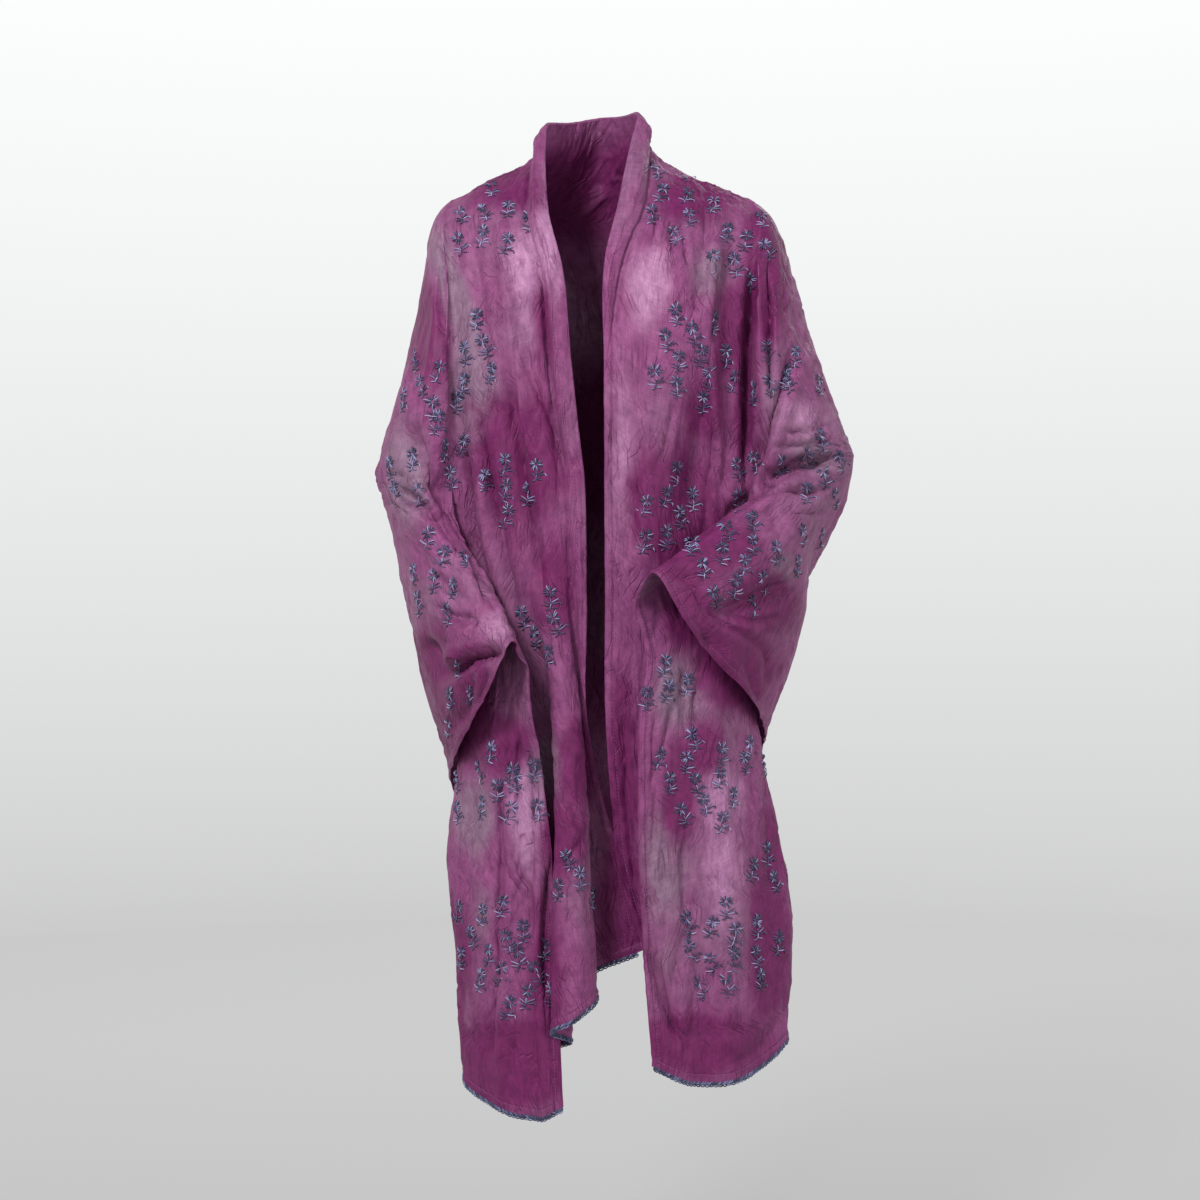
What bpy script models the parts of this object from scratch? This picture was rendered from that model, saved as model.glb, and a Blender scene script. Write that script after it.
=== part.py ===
"""A rectangular silk shawl in the form it keeps when worn, as walls of cloth in metres, +Z up.

The cloth is one length of silk. Its upper long edge lies round the neck and is turned out, and runs down
both fronts. Its lower long edge falls across the back, passes over each wrist and falls as the free edge
of the front drape. Each end, edged with crochet, is doubled: the fall behind, the drape in front of it.
The wearer faces -Y, left is +X, and the origin is where the neck and the shoulders meet.
"""

import math
from typing import NamedTuple

import bmesh
import bpy
from mathutils import Vector

MM = 0.001
CLOTH_WALL = 1.6  # mm, silk with its slack
SEAM_GAP = 0.3  # mm between two stretches that run on smoothly
MOST_SLANT = 2.5  # the most that an edge is drawn in for running at a slant to the weave
MOST_OF_A_STEP = 0.7
WIDEST_DRAW = 4.0  # mm that an edge is drawn in, at most, where two stretches meet in a sharp crease
SHOULDER_START = 9.0  # mm from the point of the shoulder to the first line of an arm wrap
CORNER_DRAW = 1.5  # mm more at a corner where three stretches meet

# Steps between two named points, along and across the cloth.
RIDGE_STEPS = 4
UPPER_ARM_STEPS = 2
FOREARM_STEPS = 3
ARM_ACROSS_STEPS = 3
BACK_ACROSS_STEPS = 5
FALL_STEPS = 2
FLUTED_ACROSS_STEPS = 3

# The turned-out upper edge and the crochet edging, in mm.
TURN_CLEARANCE = 2.6
TURN_ROLL = 3.0
TURN_STEPS = 3
TURN_START = 0.6
TURN_END_GAP = 1.2
NECK_TURN_WIDTH = 38.0
EDGING_DEPTH = 6.5
EDGING_SCALLOP = 3.0
EDGING_WALL = 1.6
EDGING_END = 2.5
EDGING_GAP = 0.6
FLUTE_RISE = 0.8  # how the fluted hem drops from the front edge to the side
SCALLOP_PITCH = 13.0
STEPS_PER_SCALLOP = 3

MAGENTA = (0.42, 0.10, 0.32, 1.0)
ROSE_MAUVE = (0.50, 0.22, 0.42, 1.0)
ORCHID = (0.55, 0.16, 0.42, 1.0)
PLUM = (0.30, 0.06, 0.24, 1.0)
SLATE_BLUE = (0.20, 0.20, 0.42, 1.0)
SILK_ROUGHNESS = 0.5
COTTON_ROUGHNESS = 0.85


class ArmLine(NamedTuple):
    """One line of the cloth over an arm, from the chest valley round the arm to the back, in mm."""

    inner: tuple
    top: tuple
    face: tuple
    outer: tuple
    back: tuple
    seam: tuple


class ChestLine(NamedTuple):
    """One line of the cloth across the chest, between the front edge and the arm, in mm."""

    edge: tuple
    near: tuple
    far: tuple


class FallLine(NamedTuple):
    """One line of the fall under the chest, from the front edge to the side, in mm."""

    edge: tuple
    near: tuple
    far: tuple
    side: tuple


class FluteLine(NamedTuple):
    """One level of the fluted fall: its height at the front edge and the side, then (x, y) points, in mm."""

    z_edge: float
    z_side: float
    edge: tuple
    valley: tuple
    flute_in: tuple
    flute_front: tuple
    flute_out: tuple
    tuck: tuple
    far: tuple
    side: tuple


class DrapeLine(NamedTuple):
    """One line of the front drape, from its free edge to the bend at the side, in mm."""

    free: tuple
    near: tuple
    far: tuple
    bend: tuple


class BackLine(NamedTuple):
    """One line across the back: the depth and height of its middle, and how far its quarters swell, in mm."""

    y: float
    z: float
    swell: float


class Fold(NamedTuple):
    """A soft ridge, or with a negative height a trough: its place and width are shares of the stretch."""

    across: float
    drift: float
    width: float
    height: float
    start: float
    end: float


# The right side's x is given away from the middle, as the left side's is.
RIDGE_LEFT = ((51, -2, 72), (76, -2, 16), (118, 0, -8), (182, 0, -32))
RIDGE_RIGHT = ((66, 4, 58), (80, 0, 20), (128, 0, -5), (182, 0, -34))

ARM_LEFT = (
    ArmLine(
        (190, -58, -78), (199, -54, -71), (209, -36, -66),
        (214, -2, -64), (205, 40, -70), (188, 60, -82),
    ),
    ArmLine(
        (184, -78, -140), (198, -80, -138), (220, -62, -138),
        (240, -8, -138), (218, 58, -142), (186, 80, -150),
    ),
    ArmLine(
        (182, -84, -212), (204, -96, -216), (238, -78, -224),
        (268, -14, -226), (236, 60, -234), (186, 92, -240),
    ),
    ArmLine(
        (184, -74, -300), (212, -100, -305), (258, -84, -312),
        (296, -22, -310), (258, 56, -330), (184, 100, -345),
    ),
    ArmLine(
        (190, -52, -402), (208, -84, -398), (248, -86, -374),
        (314, -30, -358), (276, 48, -410), (182, 106, -465),
    ),
    ArmLine(
        (162, -92, -436), (184, -112, -414), (241, -104, -417),
        (309, -30, -390), (268, 40, -470), (180, 108, -560),
    ),
    ArmLine(
        (112, -112, -475), (139, -142, -447), (196, -140, -490),
        (258, -40, -478), (232, 38, -560), (176, 108, -650),
    ),
    ArmLine(
        (72, -146, -515), (96, -172, -481), (147, -165, -549),
        (249, -45, -548), (222, 40, -650), (170, 108, -745),
    ),
    ArmLine(
        (38, -170, -540), (62, -197, -506), (98, -194, -562),
        (190, -85, -668), (204, 25, -730), (165, 104, -830),
    ),
)
ARM_RIGHT = (
    ArmLine(
        (188, -56, -80), (195, -52, -72), (201, -34, -66),
        (205, 0, -66), (200, 40, -72), (188, 60, -84),
    ),
    ArmLine(
        (180, -76, -140), (192, -78, -138), (207, -62, -138),
        (219, -6, -138), (208, 58, -142), (184, 80, -150),
    ),
    ArmLine(
        (174, -86, -212), (192, -94, -214), (216, -76, -222),
        (238, -10, -224), (220, 62, -232), (184, 92, -240),
    ),
    ArmLine(
        (172, -88, -300), (196, -102, -305), (232, -86, -312),
        (258, -16, -312), (236, 60, -330), (182, 100, -345),
    ),
    ArmLine(
        (180, -75, -400), (205, -98, -405), (240, -82, -408),
        (276, -25, -380), (250, 48, -430), (180, 106, -465),
    ),
    ArmLine(
        (165, -80, -462), (192, -102, -442), (216, -112, -465),
        (259, -35, -426), (238, 42, -500), (178, 108, -560),
    ),
    ArmLine(
        (132, -108, -515), (155, -132, -490), (177, -150, -537),
        (237, -40, -518), (220, 40, -600), (174, 108, -650),
    ),
    ArmLine(
        (102, -140, -575), (124, -164, -543), (152, -178, -602),
        (218, -45, -611), (205, 38, -690), (168, 108, -745),
    ),
    ArmLine(
        (84, -172, -615), (102, -196, -586), (128, -192, -636),
        (170, -85, -717), (187, 20, -765), (160, 104, -845),
    ),
)
ELBOW = 5  # this line of an arm wrap, counted from the point of the shoulder, lies in the crook of the elbow
BACK_SPLIT = 7  # this line of the back, counted from the neck, parts its upper stretch from its lower one

CHEST_LEFT = (
    ChestLine((37, -45, 16), (74, -48, -20), (130, -52, -48)),
    ChestLine((24, -90, -60), (72, -92, -75), (128, -92, -108)),
    ChestLine((8, -112, -132), (66, -118, -140), (124, -112, -175)),
    ChestLine((5, -120, -250), (64, -128, -250), (122, -116, -275)),
    ChestLine((5, -121, -382), (64, -122, -385), (126, -88, -390)),
)
CHEST_RIGHT = (
    ChestLine((68, -42, -2), (92, -48, -25), (140, -52, -52)),
    ChestLine((64, -88, -71), (98, -92, -80), (138, -92, -110)),
    ChestLine((46, -112, -147), (94, -116, -150), (134, -110, -178)),
    ChestLine((37, -120, -250), (84, -126, -255), (128, -116, -278)),
    ChestLine((21, -122, -388), (72, -124, -390), (122, -104, -395)),
)
FALL_LEFT = (
    FallLine((6, -120, -537), (66, -120, -540), (128, -78, -535), (190, -22, -520)),
    FallLine((6, -118, -657), (68, -116, -660), (134, -74, -655), (192, -14, -650)),
    FallLine((14, -112, -786), (74, -112, -790), (142, -72, -790), (205, -10, -790)),
    FallLine((24, -108, -867), (80, -108, -870), (148, -70, -875), (210, -10, -885)),
    FallLine((52, -105, -956), (98, -104, -975), (152, -68, -1000), (208, -12, -1035)),
)
FALL_RIGHT = (
    FluteLine(
        -537, -530, (18, -118), (34, -116), (42, -120), (56, -124),
        (72, -120), (88, -108), (122, -84), (172, -30),
    ),
    FluteLine(
        -657, -655, (17, -104), (30, -98), (26, -118), (42, -134),
        (60, -124), (58, -102), (112, -78), (168, -16),
    ),
    FluteLine(
        -772, -800, (7, -74), (34, -76), (16, -118), (34, -142),
        (54, -128), (42, -98), (104, -74), (168, -8),
    ),
    FluteLine(
        -864, -915, (-21, -68), (26, -74), (9, -120), (30, -145),
        (55, -129), (36, -99), (100, -72), (160, -8),
    ),
    FluteLine(
        -964, -1100, (-54, -68), (14, -74), (4, -120), (28, -146),
        (57, -130), (34, -99), (94, -72), (152, -10),
    ),
)
DRAPE_LEFT = (
    DrapeLine((54, -152, -605), (98, -132, -600), (146, -102, -590), (192, -54, -575)),
    DrapeLine((46, -148, -675), (94, -134, -680), (140, -106, -685), (192, -46, -690)),
    DrapeLine((45, -146, -798), (97, -134, -810), (150, -110, -820), (218, -46, -830)),
    DrapeLine((48, -146, -905), (100, -134, -915), (155, -112, -925), (234, -48, -935)),
    DrapeLine((62, -146, -1090), (110, -132, -1112), (163, -106, -1112), (228, -50, -1075)),
)
DRAPE_RIGHT = (
    DrapeLine((80, -156, -665), (102, -140, -650), (132, -116, -640), (170, -60, -625)),
    DrapeLine((70, -136, -735), (94, -132, -735), (128, -112, -735), (172, -44, -735)),
    DrapeLine((56, -118, -860), (86, -122, -865), (126, -110, -870), (188, -48, -850)),
    DrapeLine((52, -112, -975), (82, -118, -985), (122, -104, -990), (178, -45, -970)),
    DrapeLine((44, -112, -1146), (72, -118, -1158), (108, -100, -1152), (168, -42, -1126)),
)
BACK = (
    BackLine(74, 78, 14),
    BackLine(92, 34, 14),
    BackLine(104, -8, 10),
    BackLine(113, -48, 14),
    BackLine(119, -92, 10),
    BackLine(123, -168, 8),
    BackLine(126, -260, 6),
    BackLine(126, -362, 5),
    BackLine(123, -475, 5),
    BackLine(121, -570, 4),
    BackLine(121, -665, 4),
    BackLine(123, -760, 4),
    BackLine(125, -852, 4),
)
TURN_WIDTH_LEFT = (38, 32, 28, 18, 4)  # mm of the lapel at each line of the chest, from the shoulder down
TURN_WIDTH_RIGHT = (38, 26, 25, 25, 24, 20)

ARM_FOLDS_LEFT = (
    Fold(0.10, 0.06, 0.05, 7, 0.10, 0.62),
    Fold(0.28, -0.10, 0.06, 6, 0.12, 0.60),
    Fold(0.46, -0.16, 0.05, -6, 0.42, 0.80),
    Fold(0.72, 0.00, 0.07, 5, 0.20, 0.95),
)
ARM_FOLDS_RIGHT = (
    Fold(0.12, 0.05, 0.05, 6, 0.12, 0.60),
    Fold(0.30, -0.08, 0.06, 5, 0.15, 0.66),
    Fold(0.50, -0.18, 0.05, -7, 0.55, 0.95),
    Fold(0.74, 0.00, 0.07, 5, 0.20, 0.95),
)
CHEST_FOLDS_LEFT = (Fold(0.72, 0.02, 0.06, 7, 0.15, 1.0), Fold(0.88, 0.0, 0.05, -6, 0.2, 1.0))
CHEST_FOLDS_RIGHT = (Fold(0.55, -0.12, 0.07, 7, 0.15, 1.0), Fold(0.82, -0.16, 0.06, -7, 0.2, 1.0))
DRAPE_FOLDS = (Fold(0.22, 0.10, 0.07, -5, 0.2, 1.0), Fold(0.48, 0.04, 0.08, 7, 0.15, 1.0))
BACK_FOLDS = (
    Fold(0.16, 0.03, 0.035, 9, 0.30, 1.0),
    Fold(0.27, 0.04, 0.035, -8, 0.34, 1.0),
    Fold(0.38, 0.02, 0.04, 10, 0.36, 1.0),
    Fold(0.52, -0.02, 0.04, -9, 0.40, 1.0),
    Fold(0.64, -0.02, 0.035, 9, 0.36, 1.0),
    Fold(0.75, -0.03, 0.035, -8, 0.32, 1.0),
    Fold(0.85, -0.03, 0.035, 8, 0.30, 1.0),
)


def smooth_step(value):
    """0 up to 0, 1 from 1 on, and a smooth rise between them."""
    value = min(max(value, 0.0), 1.0)
    return value * value * (3.0 - 2.0 * value)


def segment_point(before, start, end, after, share):
    """A point on the centripetal Catmull-Rom segment from start to end."""
    knots = [0.0]
    points = (before, start, end, after)
    for first, second in zip(points, points[1:]):
        knots.append(knots[-1] + max((second - first).length, 1e-9) ** 0.5)
    at = knots[1] + share * (knots[2] - knots[1])

    def blend(one, two, start_knot, end_knot):
        share_of_two = (at - start_knot) / (end_knot - start_knot)
        return one * (1.0 - share_of_two) + two * share_of_two

    one = blend(before, start, knots[0], knots[1])
    two = blend(start, end, knots[1], knots[2])
    three = blend(end, after, knots[2], knots[3])
    low = blend(one, two, knots[0], knots[2])
    high = blend(two, three, knots[1], knots[3])
    return blend(low, high, knots[1], knots[2])


def smooth_curve(points, steps, lead=None):
    """A smooth run through points, with steps even steps between each two (one number, or one for each).

    A lead is the point that comes before the first one, which sets the direction there.
    """
    points = [Vector(point) for point in points]
    each = steps if isinstance(steps, (list, tuple)) else [steps] * (len(points) - 1)
    before = 2 * points[0] - points[1] if lead is None else lead
    ends = [before, *points, 2 * points[-1] - points[-2]]
    run = []
    for index, count in enumerate(each):
        for step in range(count):
            run.append(segment_point(*ends[index : index + 4], step / count))
    return run + [points[-1]]


def columns(table):
    """The table's columns, each as a list of points."""
    return [list(column) for column in zip(*table)]


def loft(rails, steps):
    """Rows of points: at each place along the rails, a smooth curve from the first rail to the last."""
    return [smooth_curve(points, steps) for points in zip(*rails)]


def normals(rows):
    """The unit normal at each point of a grid."""
    last_row, last_column = len(rows) - 1, len(rows[0]) - 1
    result = []
    for r, row in enumerate(rows):
        line = []
        for c in range(len(row)):
            along = rows[min(r + 1, last_row)][c] - rows[max(r - 1, 0)][c]
            across = row[min(c + 1, last_column)] - row[max(c - 1, 0)]
            line.append(along.cross(across).normalized())
        result.append(line)
    return result


def add_folds(rows, folds, side, held):
    """Raise folds along the normals, to nothing at the held edges, first and last column, then row."""
    last_row, last_column = len(rows) - 1, len(rows[0]) - 1
    outward = normals(rows)
    result = []
    for r, row in enumerate(rows):
        v = r / last_row
        line = []
        for c, point in enumerate(row):
            u = c / last_column
            height = 0.0
            for fold in folds:
                if not fold.start <= v <= fold.end:
                    continue
                share = (v - fold.start) / (fold.end - fold.start)
                rise = smooth_step(share * 3.0)
                if fold.end < 1.0:
                    rise *= smooth_step((1.0 - share) * 3.0)
                away = (u - fold.across - fold.drift * share) / fold.width
                height += fold.height * rise * math.exp(-away * away)
            for is_held, distance in zip(held, (u, 1.0 - u, v, 1.0 - v)):
                if is_held:
                    height *= smooth_step(distance * 8.0)
            line.append(point + outward[r][c] * height * side)
        result.append(line)
    return result


def resample(run, count):
    """count even steps along the straight runs between the points."""
    result = []
    for step in range(count + 1):
        place = step * (len(run) - 1) / count
        index = min(int(place), len(run) - 2)
        result.append(run[index].lerp(run[index + 1], place - index))
    return result


def ease_first_row(rows, run, reach):
    """Move the first row onto run, and the rows within reach of it by less and less."""
    shifts = [goal - point for goal, point in zip(run, rows[0])]
    for r in range(reach):
        share = 1.0 - smooth_step(r / reach)
        rows[r] = [point + shift * share for point, shift in zip(rows[r], shifts)]
    return rows


def stepped(start, towards, distance):
    """The point at a distance from start, on the way towards another."""
    return start + (towards - start).normalized() * distance


def edge_places(rows, edge):
    """The (row, column) places along one edge of a grid, each with the place next to it, inside."""
    last_row, last_column = len(rows) - 1, len(rows[0]) - 1
    if edge == "first row":
        return [((0, c), (1, c)) for c in range(last_column + 1)]
    if edge == "last row":
        return [((last_row, c), (last_row - 1, c)) for c in range(last_column + 1)]
    if edge == "first column":
        return [((r, 0), (r, 1)) for r in range(last_row + 1)]
    return [((r, last_column), (r, last_column - 1)) for r in range(last_row + 1)]


def draw_in(rows, place, inner, distance):
    """Move one edge point of a grid towards its inner neighbour."""
    (r, c), (inner_r, inner_c) = place, inner
    room = (rows[inner_r][inner_c] - rows[r][c]).length * MOST_OF_A_STEP
    rows[r][c] = stepped(rows[r][c], rows[inner_r][inner_c], min(distance, room))


def across_edge(step, edge_direction):
    """The part of a step that leads straight away from an edge."""
    return step - edge_direction * step.dot(edge_direction)


def part_seam(one, one_places, two, two_places):
    """Draw two stretches apart along the edge they share, by more where they meet at an angle."""
    seam = [one[r][c].copy() for (r, c), _ in one_places]
    last = len(seam) - 1
    for index, ((place, inner), (other_place, other_inner)) in enumerate(zip(one_places, two_places)):
        direction = (seam[min(index + 1, last)] - seam[max(index - 1, 0)]).normalized()
        step = one[inner[0]][inner[1]] - seam[index]
        other_step = two[other_inner[0]][other_inner[1]] - seam[index]
        straight, other_straight = across_edge(step, direction), across_edge(other_step, direction)
        bend = math.pi - straight.angle(other_straight)
        distance = min(SEAM_GAP / 2 + CLOTH_WALL / 2 * math.tan(bend / 2), WIDEST_DRAW)
        draw_in(one, place, inner, distance * min(step.length / straight.length, MOST_SLANT))
        slant = min(other_step.length / other_straight.length, MOST_SLANT)
        draw_in(two, other_place, other_inner, distance * slant)


def mirrored(rows):
    """The same grid on the other side of the body."""
    return [[Vector((-point.x, point.y, point.z)) for point in row] for row in rows]


def make_material(name, colour, roughness):
    """A plain finish for one node."""
    material = bpy.data.materials.new(name)
    material.use_nodes = True
    shader = material.node_tree.nodes["Principled BSDF"]
    shader.inputs["Base Color"].default_value = colour
    shader.inputs["Roughness"].default_value = roughness
    shader.inputs["Metallic"].default_value = 0.0
    material.diffuse_color = colour
    return material


def cloth_wall(collection, name, rows, colour, thickness=CLOTH_WALL, roughness=SILK_ROUGHNESS):
    """One stretch: an open grid of faces with the wall's thickness on both sides of it."""
    mesh = bpy.data.meshes.new(name)
    build = bmesh.new()
    grid = [[build.verts.new(point * MM) for point in row] for row in rows]
    for upper, lower in zip(grid, grid[1:]):
        for c in range(len(upper) - 1):
            build.faces.new((upper[c], upper[c + 1], lower[c + 1], lower[c]))
    build.to_mesh(mesh)
    build.free()
    mesh.shade_smooth()
    mesh.materials.append(make_material(name, colour, roughness))
    wall = bpy.data.objects.new(name, mesh)
    collection.objects.link(wall)
    solidify = wall.modifiers.new("wall", "SOLIDIFY")
    solidify.thickness = thickness * MM
    solidify.offset = 0.0
    return wall


def arm_grid(tip, table):
    """The cloth over one arm, with the rail it shares with the chest and the drape in its first column."""
    steps = [UPPER_ARM_STEPS] * ELBOW, [FOREARM_STEPS] * (len(table) - ELBOW)
    rails = []
    for column in columns(table):
        points = [tip, *column]
        upper = smooth_curve(points[: ELBOW + 1], steps[0])
        rails.append(upper[:-1] + smooth_curve(points[ELBOW:], steps[1]))
    return loft(rails, ARM_ACROSS_STEPS)


def chest_grid(ridge, table, arm):
    """The cloth from the shoulder ridge down to the elbow, and from the front edge out to the arm."""
    rails = []
    for place, column in zip(ridge, columns(table)):
        rails.append(smooth_curve([place, *column], UPPER_ARM_STEPS))
    side = [row[0] for row in arm[: ELBOW * UPPER_ARM_STEPS + 1]]
    return loft([*rails, side], RIDGE_STEPS)


def fall_grid(chest, table):
    """The inner layer of a front, from the elbow's level to the crochet end."""
    top, lead = chest[-1][::RIDGE_STEPS], chest[-2][::RIDGE_STEPS]
    rails = []
    for start, before, column in zip(top, lead, columns(table)):
        rails.append(smooth_curve([start, *column], FALL_STEPS, before))
    return ease_first_row(loft(rails, RIDGE_STEPS), chest[-1], FALL_STEPS)


def fluted_fall_grid(chest, table):
    """The inner layer of a front whose edge swings out and whose next breadth stands forward as a flute."""
    breadths = len(FluteLine._fields) - 3
    lines = []
    for line in table:
        drop = line.z_side - line.z_edge
        heights = [line.z_edge + drop * (index / breadths) ** FLUTE_RISE for index in range(breadths + 1)]
        lines.append([(*place, height) for place, height in zip(line[2:], heights)])
    top = resample(chest[-1], breadths * FLUTED_ACROSS_STEPS)
    lead = resample(chest[-2], breadths * FLUTED_ACROSS_STEPS)
    rails = []
    for start, before, column in zip(top[::FLUTED_ACROSS_STEPS], lead[::FLUTED_ACROSS_STEPS], columns(lines)):
        rails.append(smooth_curve([start, *column], FALL_STEPS, before))
    return ease_first_row(loft(rails, FLUTED_ACROSS_STEPS), top, FALL_STEPS)


def drape_grid(arm, table, tuck):
    """The outer layer of a front, from the inside of the forearm to the crochet end."""
    forearm = [row[0] for row in arm[ELBOW * UPPER_ARM_STEPS :]][::-1]
    starts = forearm[::FOREARM_STEPS]
    rails = [smooth_curve([start, *column], FALL_STEPS) for start, column in zip(starts, columns(table))]
    return ease_first_row(loft([*rails, tuck], FOREARM_STEPS), forearm, FALL_STEPS)


def back_grid(ridges, arms):
    """The cloth from the neck to the lower hem, between the two arms."""
    rails = []
    for ridge, arm in zip(ridges, arms):
        rails.append(smooth_curve(ridge, RIDGE_STEPS)[:-1] + [row[-1] for row in arm])
    counts = [RIDGE_STEPS] * 3 + [UPPER_ARM_STEPS] * ELBOW + [FOREARM_STEPS] * (len(BACK) - 4 - ELBOW)
    middle = smooth_curve([(0, line.y, line.z) for line in BACK], counts)
    swell = smooth_curve([(line.swell, 0, 0) for line in BACK], counts)
    quarters = []
    for rail in rails:
        quarter = []
        for side, centre, out in zip(rail, middle, swell):
            quarter.append(side.lerp(centre, 0.5) + Vector((0, out.x, 0)))
        quarters.append(quarter)
    return loft([rails[0], quarters[0], middle, quarters[1], rails[1]], BACK_ACROSS_STEPS)


def point_along(run, distance):
    """The point at a distance along the straight runs between points."""
    for start, end in zip(run, run[1:]):
        length = (end - start).length
        if distance <= length:
            return start.lerp(end, distance / length)
        distance -= length
    return run[-1].copy()


def turned_strip(lines, outward, widths, clearance=TURN_CLEARANCE):
    """The turned-out edge: points along each line, moved out over it, with a roll next to the fold."""
    strip = []
    for line, out, width in zip(lines, outward, widths):
        row = []
        for step in range(TURN_STEPS + 1):
            share = step / TURN_STEPS
            lift = clearance + TURN_ROLL * math.sin(math.pi * share) ** 2
            row.append(point_along(line, TURN_START + width * share) + out * lift)
        strip.append(row)
    return strip


def edging_strip(hem, above):
    """A crochet strip under a hem: an even upper edge and a scalloped lower one."""
    hem = [*hem[:-1], stepped(hem[-1], hem[-2], EDGING_END)]
    length = sum((end - start).length for start, end in zip(hem, hem[1:]))
    count = max(int(length / SCALLOP_PITCH), 1) * STEPS_PER_SCALLOP
    upper = resample(hem, count)
    behind = resample(above, count)
    rows = [[], []]
    for index, (point, inner) in enumerate(zip(upper, behind)):
        down = (point - inner).normalized()
        scallop = abs(math.sin(math.pi * index / STEPS_PER_SCALLOP))
        rows[0].append(point + down * EDGING_GAP)
        rows[1].append(point + down * (EDGING_GAP + EDGING_DEPTH + EDGING_SCALLOP * scallop))
    return rows


def side_grids(ridge, tables, folds, turn):
    """The stretches on one side of the body; turn is 1 on the left and -1 for a side that gets mirrored."""
    arm_table, chest_table, fall_table, drape_table = tables
    arm_folds, chest_folds = folds
    arm = arm_grid(ridge[-1], arm_table)
    chest = chest_grid(ridge, chest_table, arm)
    fall_form = fluted_fall_grid if isinstance(fall_table[0], FluteLine) else fall_grid
    fall = fall_form(chest, fall_table)
    drape = drape_grid(arm, drape_table, [row[-1] for row in fall])
    arm = add_folds(arm, arm_folds, 1, (True, True, False, False))
    arm[0] = [stepped(tip, after, SHOULDER_START) for tip, after in zip(arm[0], arm[1])]
    grids = {
        "arm_wrap": arm,
        "chest": add_folds(chest, chest_folds, 1, (True, True, True, True)),
        "fall": fall,
        "drape": add_folds(drape, DRAPE_FOLDS, 1, (False, True, True, False)),
    }
    return grids if turn > 0 else {name: mirrored(rows) for name, rows in grids.items()}


def part_side_seams(grids, back, back_edge):
    """Draw the stretches of one side apart, and apart from the back."""
    arm, chest, fall, drape = (grids[name] for name in ("arm_wrap", "chest", "fall", "drape"))
    crook = ELBOW * UPPER_ARM_STEPS
    ridge = len(chest[0]) - 1
    arm_inner = edge_places(arm, "first column")
    back_side = edge_places(back, back_edge)
    part_seam(chest, edge_places(chest, "last column")[1:], arm, arm_inner[1 : crook + 1])
    part_seam(drape, edge_places(drape, "first row"), arm, arm_inner[crook:][::-1])
    part_seam(fall, edge_places(fall, "last column"), drape, edge_places(drape, "last column"))
    part_seam(chest, edge_places(chest, "first row"), back, back_side[: ridge + 1])
    part_seam(arm, edge_places(arm, "last column")[1:], back, back_side[ridge + 1 :])
    corners = (
        (arm, edge_places(arm, "first column")[0]),
        (arm, edge_places(arm, "last column")[0]),
        (chest, edge_places(chest, "last column")[0]),
        (fall, edge_places(fall, "last column")[0]),
        (fall, edge_places(fall, "last column")[1]),
        (drape, edge_places(drape, "last column")[0]),
        (drape, edge_places(drape, "last column")[1]),
    )
    for rows, (place, inner) in corners:
        draw_in(rows, place, inner, CORNER_DRAW)


def part_waist(grids):
    """Draw the fall down from the chest, and the chest up, at the elbow's level."""
    for name, edge in (("chest", "last row"), ("fall", "first row")):
        for place, inner in edge_places(grids[name], edge):
            draw_in(grids[name], place, inner, SEAM_GAP / 2)


def split_stretch(rows, place):
    """The two stretches above and below one row of a grid, drawn apart there."""
    upper, lower = rows[: place + 1], [list(row) for row in rows[place:]]
    upper[-1] = [point.copy() for point in upper[-1]]
    part_seam(upper, edge_places(upper, "last row"), lower, edge_places(lower, "first row"))
    for stretch, edge in ((upper, "last row"), (lower, "first row")):
        places = edge_places(stretch, edge)
        for end in (places[0], places[-1]):
            draw_in(stretch, *end, CORNER_DRAW)
    return upper, lower


def lapel_grid(chest, widths, turn):
    """The turned-out edge of one front."""
    out = [line[0] * turn for line in normals(chest)]
    widths = [width.x for width in smooth_curve([(width, 0, 0) for width in widths], UPPER_ARM_STEPS)]
    strip = turned_strip(chest[: len(widths)], out, widths)
    for place, inner in edge_places(strip, "first row"):
        draw_in(strip, place, inner, TURN_END_GAP)
    return strip


def neck_turn_grid(back):
    """The turned-out edge behind the neck."""
    lines = [list(column) for column in zip(*back)]
    out = [-normal for normal in normals(back)[0]]
    strip = turned_strip(lines, out, [NECK_TURN_WIDTH] * len(lines))
    for edge in ("first row", "last row"):
        for place, inner in edge_places(strip, edge):
            draw_in(strip, place, inner, TURN_END_GAP)
    return strip


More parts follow.
